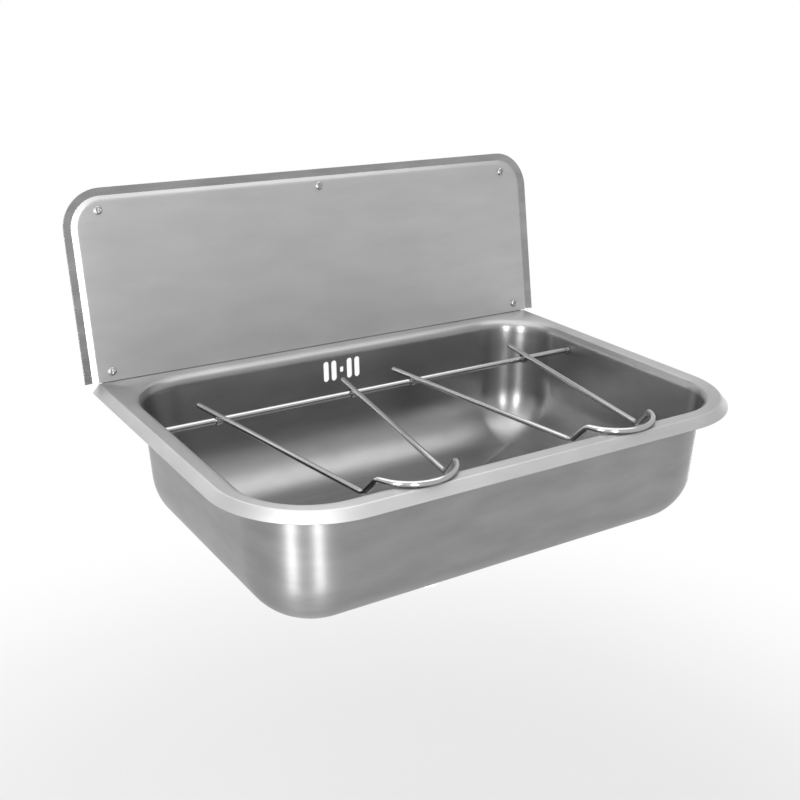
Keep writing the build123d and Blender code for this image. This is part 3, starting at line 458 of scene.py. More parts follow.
# %% Upstand
GASKET = 1.5 * MM
UPSTAND_HEIGHT = 24.0 * MM
FOLD_R = 0.8 * MM
FOLD_STEPS = 6
RISE_STEPS = 4
EDGE_EASE = 0.12 * MM
fold_y = (SHEET + GASKET) / math.cos(LEAN)
fold_turn = math.pi / 2 - LEAN
fold_back = FOLD_R * math.tan(fold_turn / 2)
angle = np.linspace(0, fold_turn, FOLD_STEPS + 1)
fold = np.stack([fold_y - fold_back + FOLD_R * np.sin(angle), FOLD_R - FOLD_R * np.cos(angle)], axis=1)
up = np.linspace(fold_back * 2, UPSTAND_HEIGHT, RISE_STEPS + 1)
rise = np.stack([fold_y + up * math.sin(LEAN), up * math.cos(LEAN)], axis=1)
upstand = np.vstack([fold, rise])  # (behind the seam, up)
upstand_columns = np.arange(-SEAM_COLUMNS, len(rear_x) + SEAM_COLUMNS)
edge_x = sink_skin.points[numbers[0, upstand_columns], 0]
within = np.abs(edge_x) <= UPSTAND_HALF_WIDTH + TOUCH
upstand_columns, edge_x = upstand_columns[within], edge_x[within]
upstand_places = np.broadcast_arrays(edge_x, SEAM_Y + upstand[:, :1], RIM_TOP + upstand[:, 1:])
upstand_numbers = sink_skin.grid(np.stack(upstand_places, axis=-1))
upstand_all = np.vstack([numbers[0, upstand_columns], upstand_numbers])[::-1]
length = running_length(np.vstack([[0.0, 0.0], upstand]))
sink_skin.cover(upstand_all, -edge_x, -length[::-1, None], finish=RIM)

sink = sink_skin.make("drawn_sink")
thicken(sink, SHEET, EDGE_EASE, back_finish=OUTSIDE)
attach(sink, "sink")
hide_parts("sink_bowl")

# %% [markdown]
# ## Turned and bent pieces
# A stud is turned: a section carried round an axis. A bucket grid is one drawn wire, bent
# on pins: a circle carried along a path. Both come out as rings of points, so one function
# makes the piece from its rings and closes both ends.


# %% Piece made of rings
def tube(name, points, along, girth):
    """Rings of points, shape (rings, points, 3), covered and capped at both ends.

    along is the distance of each ring from the first, girth the way round the widest one.
    """
    skin = Skin()
    numbers = skin.grid(points)
    skin.cover(ring(numbers), along[:, None], np.linspace(0, girth, points.shape[1] + 1))
    skin.caps = [numbers[0][::-1], numbers[-1]]
    return skin.make(name)


def turned(name, section, origin, axis, around=48):
    """Section of (distance along the axis, radius) carried round an upright axis."""
    side = np.array((1.0, 0.0, 0.0))
    other = np.cross(axis, side)
    angle = np.linspace(0, 2 * np.pi, around, endpoint=False)[None, :, None]
    along, radius = section[:, :1, None], section[:, 1:, None]
    points = origin + along * axis + radius * (np.cos(angle) * side + np.sin(angle) * other)
    return tube(name, points, running_length(section), 2 * np.pi * section[:, 1].max())


# %% Bent wire
def rounded_ends(path, radius, ease, steps=4):
    """Path and radii of a wire whose two cut ends are slightly rounded."""
    angle = np.linspace(0, np.pi / 2, steps + 1)[:-1]
    start, stop = direction(path[0], path[1]), direction(path[-2], path[-1])
    back = ease * (1 - np.cos(angle))[:, None]
    radii = radius - ease + ease * np.sin(angle)
    full = np.concatenate([path[0] + back * start, [path[0] + ease * start], path[1:-1],
                           [path[-1] - ease * stop], (path[-1] - back * stop)[::-1]])
    return full, np.concatenate([radii, np.full(len(path), radius), radii[::-1]])


def bent_wire(name, path, radii, around=28):
    """Circle carried along a path; its plane stays square to the path."""
    ahead = np.gradient(path, axis=0)
    ahead /= np.linalg.norm(ahead, axis=1, keepdims=True)
    side = np.cross(ahead, (0, 0, 1))
    side /= np.linalg.norm(side, axis=1, keepdims=True)
    over = np.cross(ahead, side)
    angle = np.linspace(0, 2 * np.pi, around, endpoint=False)[None, :, None]
    circle = np.cos(angle) * side[:, None] + np.sin(angle) * over[:, None]
    points = path[:, None] + radii[:, None, None] * circle
    return tube(name, points, running_length(path), 2 * np.pi * radii.max())


# %% [markdown]
# ## Bucket grids
# Each grid is one wire: a straight arm from behind the rod, a riser up to the level of the
# rim, a round front that lies on the rim, and the same back again. The bends of the riser
# are soft curves, as a bending pin leaves them. Measured in the photograph, the wire is
# 6 mm thick and its four free ends are not of one length, so both are drawn like that here.

# %% Path of the wire
WIRE_R = 3.0 * MM
FIT_GAP = 0.3 * MM  # between the wire and the rim
ARM_HALF_SPACING = 81.75 * MM  # at the rod
ARM_CONVERGENCE = 0.154  # per side, towards the front
# Left and right free end of either grid, measured from the rod to the rear.
ARM_REARS = {"left": (37.0 * MM, 31.0 * MM), "right": (33.0 * MM, 36.0 * MM)}
ARM_DROOP = 0.009  # towards the front
ARM_OVER_ROD = 5.6 * MM
LOOP_FRONT = 404.6 * MM  # from the seam
RISER_START = 356.5 * MM
RISER_END = 374.5 * MM
RISER_BEND = 4.5 * MM
PULL_BEFORE, PULL_AFTER, BEND_END = 0.3, 0.7, 0.8  # upper bend, in shares of RISER_BEND
ARM_STEPS = 29
BEND_STEPS = 8
FRONT_ARC_STEPS = 31
loop_z = RIM_TOP + FIT_GAP + WIRE_R
loop_front_y = SEAM_Y - LOOP_FRONT
tilt = math.atan(ARM_CONVERGENCE)
loop_r = (ARM_HALF_SPACING + ARM_CONVERGENCE * (loop_front_y - ROD_Y)) * math.cos(tilt) / (1 - math.sin(tilt))
loop_middle_y = loop_front_y + loop_r


def arm_point(y):
    """Point on the right arm, a straight line that lies on the rod and droops to the front."""
    ahead = y - ROD_Y
    return np.array([ARM_HALF_SPACING + ARM_CONVERGENCE * ahead, y, ROD_Z + ARM_OVER_ROD + ARM_DROOP * ahead])


def loop_point(y, z):
    """Point on the right half of the round front."""
    return np.array([math.sqrt(loop_r**2 - (loop_middle_y - y) ** 2), y, z])


def soft_bend(points):
    """Bezier curve through its first and last point, pulled by those between."""
    t = np.linspace(0, 1, BEND_STEPS + 1)[:, None]
    while len(points) > 1:
        points = [(1 - t) * a + t * b for a, b in zip(points[:-1], points[1:])]
    return points[0]


low_bend = arm_point(SEAM_Y - RISER_START)
high_bend = loop_point(SEAM_Y - RISER_END, loop_z)
along_arm = direction(arm_point(ROD_Y), low_bend)
up_riser = direction(low_bend, high_bend)
on_loop = loop_point(SEAM_Y - RISER_END - RISER_BEND * BEND_END, loop_z)
round_front = direction(np.zeros(3), np.array([on_loop[1] - loop_middle_y, -on_loop[0], 0.0]))
lower = soft_bend([low_bend - along_arm * RISER_BEND, low_bend, low_bend + up_riser * RISER_BEND])
upper = soft_bend([
    high_bend - up_riser * RISER_BEND,
    high_bend - up_riser * RISER_BEND * PULL_BEFORE,
    on_loop - round_front * RISER_BEND * PULL_AFTER,
    on_loop,
])
start_angle = math.degrees(math.atan2(on_loop[1] - loop_middle_y, on_loop[0]))
front_arc = arc((0, loop_middle_y), loop_r, start_angle, -90, FRONT_ARC_STEPS + 1)
front_arc = np.column_stack([front_arc, np.full(len(front_arc), loop_z)])


def half_path(rear):
    """Right half of the wire, from a free end of its own length to the middle of the front."""
    arm_line = np.linspace(arm_point(ROD_Y + rear), low_bend - along_arm * RISER_BEND, ARM_STEPS + 1)
    return np.vstack([arm_line, lower[1:], upper, front_arc[1:]])


def grid_path(left_rear, right_rear):
    """Whole wire, from the right free end round to the left one."""
    return np.vstack([half_path(right_rear), half_path(left_rear)[-2::-1] * (-1, 1, 1)])


# %% Two grids
END_EASE = WIRE_R / 4
grids = {}
for side in ("left", "right"):
    low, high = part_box(f"{side}_bucket_grid")
    middle_x = (low[0] + high[0]) / 2
    path, radii = rounded_ends(grid_path(*ARM_REARS[side]) + (middle_x, 0, 0), WIRE_R, END_EASE)
    print(side, "wire", round(running_length(path)[-1], 3), "m")
    grids[side] = bent_wire(f"{side}_grid_wire", path, radii)
    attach(grids[side], f"{side}_grid")
    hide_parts(f"{side}_bucket_grid")

# %% [markdown]
# ## Splash plate
# The plate is a flat panel with a border on three sides: the sheet first steps back in a
# narrow slope and then flares forward into a flange that stands upright against the wall.
# The border's section is carried along the plate's outline, and the panel is stretched
# between that outline and its foot.

# %% Outline and border section of the plate
FACE_HALF_WIDTH = 293.4 * MM
FACE_HEIGHT = 195.1 * MM
FACE_CORNER_R = 30.0 * MM
FOOT_GAP = 0.8 * MM
BEND_RUN = 5.1 * MM
BEND_DEPTH = 2.5 * MM
FLANGE_RUN = 8.4 * MM
INNER_R = 0.8 * MM
SOFT_R = 9.0 * MM  # the pressed bend next to the face is soft, the folded one is tight
step_angle = math.atan2(BEND_DEPTH, BEND_RUN)
flare_angle = step_angle + LEAN


def fold_points(tip, before, turn, radius, count=6):
    """Arc that rounds a corner of the section: `before` is the heading in, turn is signed."""
    back = radius * math.tan(abs(turn) / 2)
    start = tip - back * np.array([math.cos(before), math.sin(before)])
    headings = before + turn * (np.arange(count) + 0.5) / count
    step = 2 * radius * math.sin(abs(turn) / count / 2)
    moves = step * np.stack([np.cos(headings), np.sin(headings)], axis=1)
    return np.vstack([start, start + np.cumsum(moves, axis=0)])


first_fold = fold_points(np.array([0.0, 0.0]), 0.0, step_angle, SOFT_R)
second_fold = fold_points(np.array([BEND_RUN, BEND_DEPTH]), step_angle, -flare_angle, INNER_R)
flange_end = np.array([[BEND_RUN + FLANGE_RUN, BEND_DEPTH - FLANGE_RUN * math.tan(LEAN)]])
border = np.vstack([first_fold, second_fold, flange_end])  # (outward, behind the face)
print("steps of the border's section:", len(border) - 1)

# %% Skin of the plate
PLATE_CORNER_STEPS = 16
PANEL_STEPS = 23
side_up = np.linspace(0, 1, 12)
top_across = np.linspace(0, 1, 40)
corner_turn = np.radians(np.linspace(180, 90, PLATE_CORNER_STEPS + 1))[1:-1]


def plate_line(outward, behind):
    """Left foot, left corner, top, right corner, right foot, in (x, up the plate)."""
    foot = (FOOT_GAP + behind * math.sin(LEAN)) / math.cos(LEAN)
    half, top, radius = FACE_HALF_WIDTH + outward, FACE_HEIGHT + outward, FACE_CORNER_R + outward
    shoulder = FACE_HEIGHT - FACE_CORNER_R
    inner = FACE_HALF_WIDTH - FACE_CORNER_R
    left = line((-half, foot), (-half, shoulder), side_up)
    turn_in = (-inner, shoulder) + radius * np.stack([np.cos(corner_turn), np.sin(corner_turn)], axis=1)
    across = line((-inner, top), (inner, top), top_across)
    return np.vstack([left, turn_in, across, (turn_in * (-1, 1))[::-1], (left * (-1, 1))[::-1]])


def on_plate(x, up, behind):
    """Place in the room of a point on the leaning plate."""
    y = SEAM_Y + up * math.sin(LEAN) + behind * math.cos(LEAN)
    z = RIM_TOP + up * math.cos(LEAN) - behind * math.sin(LEAN)
    return np.stack(np.broadcast_arrays(x, y, z), axis=-1)


plate_rows = np.stack([plate_line(outward, behind) for outward, behind in border])
plate_grid = on_plate(plate_rows[..., 0], plate_rows[..., 1], border[:, 1:])
edge_line = plate_line(border[0, 0], 0.0)
walked = running_length(edge_line)
foot_x = np.interp(walked, [0, walked[-1]], [edge_line[0, 0], edge_line[-1, 0]])
foot_up = FOOT_GAP / math.cos(LEAN)
share = np.linspace(0, 1, PANEL_STEPS + 1)[:-1, None]
panel_x_places = (1 - share) * foot_x[1:-1] + share * edge_line[1:-1, 0]
panel_up_places = (1 - share) * foot_up + share * edge_line[1:-1, 1]

plate_skin = Skin()
border_numbers = plate_skin.grid(plate_grid)
panel_numbers = plate_skin.grid(on_plate(panel_x_places, panel_up_places, 0.0))
FACE, FLANGE = 0, 1
flange_rows = np.arange(len(border) - 1) >= len(first_fold) + 2  # from the middle of the second fold
for patch, finish in ((np.vstack([panel_numbers, border_numbers[:1, 1:-1]]), FACE),
                      (border_numbers, np.where(flange_rows, FLANGE, FACE)[:, None])):
    xyz = plate_skin.points[patch]
    plate_skin.cover(patch, xyz[..., 0], xyz[..., 2], finish=finish)
# The first and the last column of the panel leave a small triangle at each foot corner.
plate_skin.caps.append(np.concatenate([border_numbers[0, :1], panel_numbers[:, 0], border_numbers[0, 1:2]]))
plate_skin.caps.append(np.concatenate([border_numbers[0, -1:], border_numbers[0, -2:-1],
                                       panel_numbers[::-1, -1]]))
plate = plate_skin.make("splash_plate_skin")
thicken(plate, SHEET, EDGE_EASE)
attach(plate, "sink")
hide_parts("splash_plate")

# %% [markdown]
# ## Small pieces from the model
# Nuts, washers, lugs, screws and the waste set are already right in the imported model, but
# its triangles are loose and flat-shaded. Merging points that lie in the same place and
# keeping only real edges sharp makes round parts look round.


# %% Merged copies
def merged(node, body, sharp=35.0, mend=None):
    """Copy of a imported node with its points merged, smooth between sharp edges.

    mend is a function that moves some of the points before the mesh is made.
    """
    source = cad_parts[node].data
    points = np.empty(len(source.vertices) * 3)
    source.vertices.foreach_get("co", points)
    corners = np.empty(len(source.loops), np.int32)
    source.loops.foreach_get("vertex_index", corners)
    points = np.round(points.reshape(-1, 3), 7)  # to a tenth of a micrometre
    places, number = np.unique(points, axis=0, return_inverse=True)
    triangles = number.ravel()[corners].reshape(-1, 3)
    whole = (triangles != np.roll(triangles, 1, axis=1)).all(axis=1)
    if mend:
        places = mend(places)
    mesh = bpy.data.meshes.new(node)
    mesh.from_pydata(places.tolist(), [], triangles[whole].tolist())
    mesh.polygons.foreach_set("use_smooth", np.ones(len(mesh.polygons), bool))
    mesh.set_sharp_from_angle(angle=math.radians(sharp))
    piece = bpy.data.objects.new(f"{node}_smooth", mesh)
    bpy.context.scene.collection.objects.link(piece)
    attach(piece, body)
    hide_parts(node)
    return piece


NOTCH_DROP = 41.0 * MM  # upper edge of the notch, below the rim
NOTCH_LIFT = 6.5 * MM
NOTCH_HALF = 80.0 * MM
ROD_R = (rod_high[2] - rod_low[2]) / 2
ROD_GROWTH = 0.5 * MM
ROD_THICK = 0.95  # points farther out than this share of the radius are on the thick part


def lift_notch(places):
    """The notch of the rail goes up, so that the overflow stays open to the light behind."""
    at_notch = np.abs(places[:, 2] - (RIM_TOP - NOTCH_DROP)) < TOUCH
    at_notch &= np.abs(places[:, 0]) <= NOTCH_HALF
    print("points at the rail's notch:", at_notch.sum())
    return places + NOTCH_LIFT * at_notch[:, None] * (0, 0, 1)


def grow_rod(places):
    """The rod between the walls gets a little thicker round its own axis."""
    off_axis = (places - (0, ROD_Y, ROD_Z)) * (0, 1, 1)
    radius = np.linalg.norm(off_axis, axis=1, keepdims=True)
    thick = radius > ROD_R * ROD_THICK
    return places + np.where(thick, off_axis / np.maximum(radius, MM) * ROD_GROWTH, 0.0)


mends = {"wall_rail": lift_notch, "pivot_rod": grow_rod}
small = {}
for node in ("splash_gasket", "backing_strip", "top_screws", "lower_screws", "lower_screw_nuts", "wall_rail",
             "rail_washers", "rail_nuts", "pivot_rod", "rod_inner_washers", "rod_outer_washers", "rod_nuts",
             "upper_seal", "strainer_plate", "waste_screw", "lower_seal", "waste_body"):
    small[node] = merged(node, "sink", mend=mends.get(node))
for side in ("left", "right"):
    small[f"{side}_grid_lugs"] = merged(f"{side}_grid_lugs", f"{side}_grid")
print("merged copies:", len(small))

# %% Studs under the rim
STUD_R = 2.5 * MM
STUD_LENGTH = 10.5 * MM
STUD_FROM_SEAM = 5.4 * MM
STUD_XS = (-160.0 * MM, -50.0 * MM, 50.0 * MM, 160.0 * MM)
STUD_ROOT = SHEET * 0.9  # the welded end starts inside the sheet
STUD_CHAMFER = 0.4 * MM
stud_end = SHEET + STUD_LENGTH
stud_section = np.array([[STUD_ROOT, STUD_R], [stud_end - STUD_CHAMFER, STUD_R],
                         [stud_end, STUD_R - STUD_CHAMFER]])
studs = []
for number, x in enumerate(STUD_XS):
    root = np.array([x, SEAM_Y - STUD_FROM_SEAM, RIM_TOP])
    stud = turned(f"rail_stud_{number + 1}", stud_section, root, np.array([0.0, 0.0, -1.0]))
    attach(stud, "sink")
    studs.append(stud)

# %% [markdown]
# ## Materials
# All the bright metal is stainless steel, yet no two parts share one surface. The sheet is
# brushed, so its marks run one way and stretch every highlight across them. The wire is
# polished, the screws are plain, the rail is zinc plated. Below, one function adds a node
# with its settings and links, and each way of finishing is a short list of nodes.


# %% Node helpers
def linear(code):
    """sRGB hex code to linear RGBA."""
    values = [int(code[i:i + 2], 16) / 255 for i in (1, 3, 5)]
    return [v / 12.92 if v <= 0.04045 else ((v + 0.055) / 1.055) ** 2.4 for v in values] + [1.0]


def feed(owner, node, **inputs):
    """Sets inputs of a node, or links them where the value is a socket.

    An input goes by its name, or by its number as in i2.
    """
    for name, value in inputs.items():
        numbered = name[0] == "i" and name[1:].isdigit()
        socket = node.inputs[int(name[1:]) if numbered else name.replace("_", " ")]
        if isinstance(value, bpy.types.NodeSocket):
            owner.node_tree.links.new(value, socket)
        else:
            socket.default_value = value
    return node


def add(owner, kind, settings=None, **inputs):
    """Adds a node to a material or world; settings are the node's own options."""
    made = owner.node_tree.nodes.new(kind)
    for name, value in (settings or {}).items():
        setattr(made, name, value)
    return feed(owner, made, **inputs)


def new_material(name):
    """Empty material with its surface shader in place."""
    material = bpy.data.materials.new(name)
    material.use_nodes = True
    material.node_tree.nodes.clear()
    shader = add(material, "ShaderNodeBsdfPrincipled")
    add(material, "ShaderNodeOutputMaterial", Surface=shader.outputs[0])
    return material, shader


# %% Ways of finishing
NOISE_LOW, NOISE_HIGH = 0.3, 0.7  # noise seldom leaves this range, so it is stretched from it
SPREAD = (NOISE_HIGH - NOISE_LOW) / 2
MARK_WIDTH = 0.8 * MM  # coarser than real brush marks, which are too fine for the picture
MARK_DEPTH = 0.02 * MM
MARK_TONE = 0.35  # share of the marks in the drift of tone
HAZE_SIZE = 90 * MM  # clouds in the roughness
HAZE = 0.06  # how much the roughness drifts
PATCH_LENGTH, PATCH_WIDTH = 70 * MM, 22 * MM  # clouds in the tone
QUARTER_TURN = 0.25  # turns the stretch of a highlight from along the marks to across them


def brushed(name, code, low, high, stroke, stretch, mark, mottle=0.05):
    """Brushed sheet: long thin marks along u change the roughness and the relief a little.

    low and high are the ends of the roughness, stroke the length of a mark, stretch how
    much longer highlights get across the marks, and mark the strength of the relief. The
    colour is the hex tone times 1 - mottle to 1 + mottle, in soft patches.
    """
    material, shader = new_material(name)
    flat, multiply_add = {"noise_dimensions": "2D"}, {"operation": "MULTIPLY_ADD"}
    places = add(material, "ShaderNodeUVMap", {"uv_map": "brushing"}).outputs[0]
    mark_size = (1 / stroke, 1 / MARK_WIDTH, 1.0)
    drawn = add(material, "ShaderNodeMapping", Vector=places, Scale=mark_size).outputs[0]
    marks = add(material, "ShaderNodeTexNoise", flat, Vector=drawn, Scale=1.0, Detail=4.0,
                Roughness=0.6).outputs[0]
    cloud = add(material, "ShaderNodeTexNoise", flat, Vector=places, Scale=1 / HAZE_SIZE,
                Detail=2.0).outputs[0]
    rough = add(material, "ShaderNodeMapRange", Value=marks, i1=NOISE_LOW, i2=NOISE_HIGH, i3=low,
                i4=high).outputs[0]
    hazed = add(material, "ShaderNodeMath", multiply_add, i0=cloud, i1=HAZE, i2=rough).outputs[0]
    relief = add(material, "ShaderNodeBump", Height=marks, Strength=mark, Distance=MARK_DEPTH).outputs[0]
    patch_size = (1 / PATCH_LENGTH, 1 / PATCH_WIDTH, 1.0)
    drift = add(material, "ShaderNodeMapping", Vector=places, Scale=patch_size).outputs[0]
    patches = add(material, "ShaderNodeTexNoise", flat, Vector=drift, Scale=1.0, Detail=3.0).outputs[0]
    mixed = add(material, "ShaderNodeMath", multiply_add, i0=marks, i1=MARK_TONE, i2=patches).outputs[0]
    even = 0.5 * (1 + MARK_TONE)  # both noises lie round 0.5, so the mix lies round this
    tone = add(material, "ShaderNodeMapRange", {"clamp": False}, Value=mixed, i1=even - SPREAD,
               i2=even + SPREAD, i3=1 - mottle, i4=1 + mottle).outputs[0]
    colour = add(material, "ShaderNodeVectorMath", {"operation": "SCALE"}, i0=linear(code)[:3],
                 Scale=tone).outputs[0]
    along = add(material, "ShaderNodeTangent", {"direction_type": "UV_MAP", "uv_map": "brushing"}).outputs[0]
    feed(material, shader, Base_Color=colour, Metallic=1.0, Roughness=hazed, Normal=relief, Tangent=along,
         Anisotropic=stretch, Anisotropic_Rotation=QUARTER_TURN)
    return material


def grained(name, code, low, high, grain, relief, detail, depth, metallic):
    """Surface with a fine even grain in the piece's own coordinates."""
    material, shader = new_material(name)
    places = add(material, "ShaderNodeTexCoord").outputs["Object"]
    grit = add(material, "ShaderNodeTexNoise", Vector=places, Scale=1 / grain, Detail=detail).outputs[0]
    rough = add(material, "ShaderNodeMapRange", Value=grit, i1=NOISE_LOW, i2=NOISE_HIGH, i3=low,
                i4=high).outputs[0]
    bump = add(material, "ShaderNodeBump", Height=grit, Strength=relief, Distance=depth).outputs[0]
    feed(material, shader, Base_Color=linear(code), Metallic=metallic, Roughness=rough, Normal=bump)
    return material


def plain_metal(name, code, roughness, grain, relief):
    """Metal whose roughness wanders by a fifth."""
    return grained(name, code, roughness * 0.8, roughness * 1.2, grain, relief, 3.0, 0.02 * MM, 1.0)


def moulded(name, code, roughness, grain, relief):
    """Rubber or plastic with the dull skin that a mould leaves."""
    return grained(name, code, roughness - 0.06, roughness + 0.06, grain, relief, 2.0, 0.05 * MM, 0.0)


# %% Finishes
LONG, SHORT = 50 * MM, 30 * MM  # brush strokes on the drawn and on the rolled sheet
# Satin: keeps the streaks of the lamps in the corners and sinks to dark grey between them.
inside_steel = brushed("drawn stainless steel, satin inside", "#8c8c8c", 0.26, 0.30, LONG, 0.75, 0.008)
# Coarser brushing, which spreads the light of the room, so the rim reads as the lightest band.
rim_steel = brushed("drawn stainless steel, brushed rim", "#a2a2a2", 0.46, 0.54, LONG, 0.5, 0.02)
# The same brushing on the slope below it, with painted light: a lighter colour where the light falls more
# squarely.
skirt_steel_painted_lighter = brushed("drawn stainless steel, brushed skirt with painted light", "#b0b0b0", 0.46, 0.54, LONG, 0.5, 0.02)
# Brushed round the bowl: tall soft streaks on the corners, faint level clouds on the walls.
outside_steel = brushed("drawn stainless steel, brushed outside", "#929292", 0.31, 0.37, LONG, 0.75, 0.02,
                        0.07)
# As rolled and only folded, so a little darker and sharper than the face next to it.
flange_steel = brushed("rolled stainless sheet, folded edge", "#929292", 0.22, 0.26, SHORT, 0.4, 0.01, 0.12)
# Matt, with a light level brushing: an even grey that hardly mirrors.
splash_steel = brushed("rolled stainless sheet, matt", "#aeaeae", 0.34, 0.40, SHORT, 0.6, 0.02, 0.035)
# Polished: a bright line along the top of the wire between two dark ones.
wire_steel = plain_metal("drawn stainless wire, polished", "#a8a8a8", 0.15, 1.5 * MM, 0.02)
# The rod is drawn and polished too, but a little duller than the wire.
rod_steel = plain_metal("drawn stainless rod, polished", "#a4a4a4", 0.18, 1.5 * MM, 0.02)
# Plain pressed heads, smooth enough to glint at the edge of the slots.
screw_steel = plain_metal("stainless screws, plain", "#a0a0a0", 0.13, 0.8 * MM, 0.05)
# Zinc: bluish grey and dull, so the rail reads as another metal than the sheet.
zinc = plain_metal("zinc plated steel", "#aab0b2", 0.38, 2.0 * MM, 0.2)
# Seals and gasket: nearly black and matt, a dark line in each joint.
rubber = moulded("black rubber", "#232323", 0.62, 0.4 * MM, 0.3)
# Strip behind the plate and waste body: moulded, with a soft broad sheen.
grey_plastic = moulded("grey polypropylene, moulded", "#8d9092", 0.42, 0.6 * MM, 0.15)
white_plastic = moulded("white polypropylene, moulded", "#dedfdc", 0.4, 0.6 * MM, 0.15)
print("finishes:", len(bpy.data.materials))

# %% [markdown]
# Each piece gets its finish. The sheet of the sink carries four finishes, and each of
# its faces keeps the number of its own.


# %% Pieces and finishes
def paint(piece, slot, *materials):
    """Gives a piece its finishes; slot is not used."""
    for material in materials:
        piece.data.materials.append(material)


# The skirt's material is the rim's brushing with its colour painted lighter, as painted light.
paint(sink, "drawn_steel", inside_steel, rim_steel, outside_steel, skirt_steel_painted_lighter)
paint(plate, "splash_steel", splash_steel, flange_steel)
for side in ("left", "right"):
    paint(grids[side], "polished_steel", wire_steel)
    paint(small[f"{side}_grid_lugs"], "polished_steel", rod_steel)
for stud in studs:
    paint(stud, "drawn_steel", screw_steel)
finish_of = {
    "pivot_rod rod_inner_washers": (rod_steel, "polished_steel"),
    "rod_outer_washers rod_nuts top_screws lower_screws lower_screw_nuts": (screw_steel, "screw_steel"),
    "rail_washers rail_nuts wall_rail": (zinc, "plated_steel"),
    "strainer_plate": (screw_steel, "polished_steel"),
    "waste_screw": (screw_steel, "screw_steel"),
    "splash_gasket upper_seal lower_seal": (rubber, "black_rubber"),
    "backing_strip": (grey_plastic, "grey_plastic"),
    "waste_body": (white_plastic, "white_plastic"),
}
for nodes, (material, slot) in finish_of.items():
    for node in nodes.split():
        paint(small[node], slot, material)
print("painted:", sum(bool(piece.data.materials) for piece in small.values()), "small pieces")

# %% [markdown]
# ## Lamps
# Steel shows its surroundings, so the lamps are part of its look. Two upright soft boxes
# stand on either side of the camera and draw the bright streaks on the round corners. A
# small one stands low at the right, a wide one hangs overhead, and one behind lights the
# rim.


# %% Soft boxes
def soft_box(name, middle, aim, width, height, power):
    """Rectangular lamp that faces a point."""
    lamp = bpy.data.lights.new(name, "AREA")
    lamp.shape = "RECTANGLE"
    lamp.size, lamp.size_y, lamp.energy = width, height, power
    holder = bpy.data.objects.new(name, lamp)
    bpy.context.scene.collection.objects.link(holder)
    middle, aim = np.asarray(middle, float), np.asarray(aim, float)
    back = direction(aim, middle)
    right = np.cross((0, 0, 1), back)
    right /= np.linalg.norm(right)
    place = np.eye(4)
    place[:3] = np.stack([right, np.cross(back, right), back, middle], axis=1)
    holder.matrix_world = Matrix(place.tolist())


sink_middle = np.array([0.0, SEAM_Y - RIM_FRONT / 2, 0.0])


def around_sink(azimuth, distance, height):
    """Point at an azimuth from the front (positive to the left) round the sink."""
    angle = math.radians(azimuth)
    return sink_middle + (-distance * math.sin(angle), -distance * math.cos(angle), height)


# Name, middle, point it faces, width and height in metres, power in watts.
soft_box("left soft box", around_sink(55, 2.19, 0.25), around_sink(0, 0, 0.25), 0.36, 2.1, 44)
soft_box("middle soft box", around_sink(21, 2.1, 0.25), around_sink(0, 0, 0.25), 0.32, 2.1, 36)
soft_box("right soft box", around_sink(-100, 2.1, -0.45), around_sink(0, 0, -0.05), 0.5, 0.7, 5)
soft_box("ceiling", sink_middle + (0, 0.2, 2.0), sink_middle, 3.0, 2.4, 42)
soft_box("rear soft box", (-0.5, 2.2, 1.3), sink_middle, 2.6, 1.2, 14)
print("soft boxes:", len(bpy.data.lights))

# %% [markdown]
# ## White room
# The photograph has a plain white background. The camera and the mirror images see the
# room white, while dull surfaces get less light from it, so that the lamps draw their
# shapes. The floor is white paper that keeps a faint shadow and fades to white.

# %% World and floor
WORLD_LIGHT = 0.4  # what the white room gives to dull surfaces; mirrors and the camera see 1
FLOOR_Z = -0.85
FLOOR_HALF = 5.0
PAPER, PAPER_SEEN = 0.88, 0.71  # the camera sees the paper darker, so a faint shadow stays
SHADOW_REACH = (0.6, 1.5)  # metres from below the sink between which the shadow fades to white
GLOW_NEAR = 0.1  # share of plain white in the paper right below the sink


def seen_directly(owner):
    """1 for the camera, for mirror images and for looks through clear stuff, otherwise 0."""
    ray = add(owner, "ShaderNodeLightPath").outputs
    largest = {"operation": "MAXIMUM"}
    ways = ("Camera", "Glossy", "Transmission")
    camera_ray, mirror_ray, through_ray = (ray[f"Is {way} Ray"] for way in ways)
    either = add(owner, "ShaderNodeMath", largest, i0=camera_ray, i1=mirror_ray).outputs[0]
    return add(owner, "ShaderNodeMath", largest, i0=either, i1=through_ray).outputs[0]


world = bpy.data.worlds.new("white studio")
bpy.context.scene.world = world
world.use_nodes = True
world.node_tree.nodes.clear()
level = add(world, "ShaderNodeMapRange", Value=seen_directly(world), i3=WORLD_LIGHT, i4=1.0).outputs[0]
sky = add(world, "ShaderNodeBackground", Color=linear("#ffffff"), Strength=level)
add(world, "ShaderNodeOutputWorld", Surface=sky.outputs[0])

floor_mesh = bpy.data.meshes.new("floor")
floor_corners = np.array([[-1, -1], [1, -1], [1, 1], [-1, 1]]) * FLOOR_HALF
floor_mesh.from_pydata(np.column_stack([floor_corners, np.full(4, FLOOR_Z)]).tolist(), [], [[0, 1, 2, 3]])
floor = bpy.data.objects.new("floor", floor_mesh)
bpy.context.scene.collection.objects.link(floor)

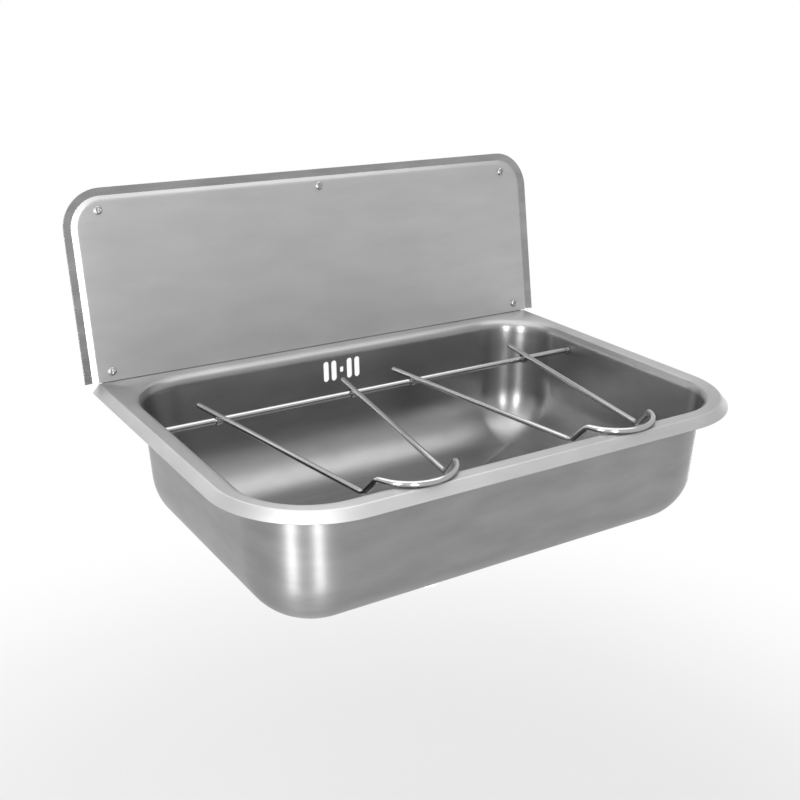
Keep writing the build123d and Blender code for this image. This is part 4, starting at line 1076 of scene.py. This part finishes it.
floor_paint = bpy.data.materials.new("white paper floor")
floor_paint.use_nodes = True
floor_paint.node_tree.nodes.clear()
direct = seen_directly(floor_paint)
shade = add(floor_paint, "ShaderNodeMapRange", Value=direct, i3=PAPER, i4=PAPER_SEEN).outputs[0]
paper = add(floor_paint, "ShaderNodeBsdfDiffuse", Color=shade).outputs[0]
glow = add(floor_paint, "ShaderNodeEmission", Color=linear("#ffffff"), Strength=1.0).outputs[0]
places = add(floor_paint, "ShaderNodeTexCoord").outputs["Object"]
below_sink = (0.0, sink_middle[1], FLOOR_Z)
away = add(floor_paint, "ShaderNodeVectorMath", {"operation": "DISTANCE"}, i0=places,
           i1=below_sink).outputs["Value"]
shine = add(floor_paint, "ShaderNodeMapRange", {"interpolation_type": "SMOOTHSTEP"}, Value=away,
            i1=SHADOW_REACH[0], i2=SHADOW_REACH[1], i3=GLOW_NEAR, i4=1.0).outputs[0]
share = add(floor_paint, "ShaderNodeMath", {"operation": "MULTIPLY"}, i0=direct, i1=shine).outputs[0]
mixed = add(floor_paint, "ShaderNodeMixShader", i0=share, i1=paper, i2=glow).outputs[0]
add(floor_paint, "ShaderNodeOutputMaterial", Surface=mixed)
floor_mesh.materials.append(floor_paint)
print("floor", 2 * FLOOR_HALF, "m wide,", -FLOOR_Z, "m below the frame")

# %% [markdown]
# ## Camera
# Lens, place and angles come from a fit of the straight edges in the photograph. The shift
# is half a pixel of the 800 pixel picture, as the fit counts from the middle of a pixel.

# %% Camera
LENS = 50.913  # mm on a 36 mm wide sensor
CAMERA_PLACE = (-0.63866, -1.19163, 0.45349)
CAMERA_ANGLES = (69.478, -0.6461, -32.3048)  # degrees
HALF_PIXEL = 0.5 / 800
camera_data = bpy.data.cameras.new("camera")
camera_data.lens = LENS
camera_data.sensor_width = 36.0
camera_data.shift_x, camera_data.shift_y = -HALF_PIXEL, HALF_PIXEL
camera = bpy.data.objects.new("camera", camera_data)
camera.location = CAMERA_PLACE
camera.rotation_euler = [math.radians(angle) for angle in CAMERA_ANGLES]
bpy.context.scene.collection.objects.link(camera)
bpy.context.scene.camera = camera
bpy.context.scene.view_settings.view_transform = "Standard"
print("camera at", CAMERA_PLACE, "with", LENS, "mm")
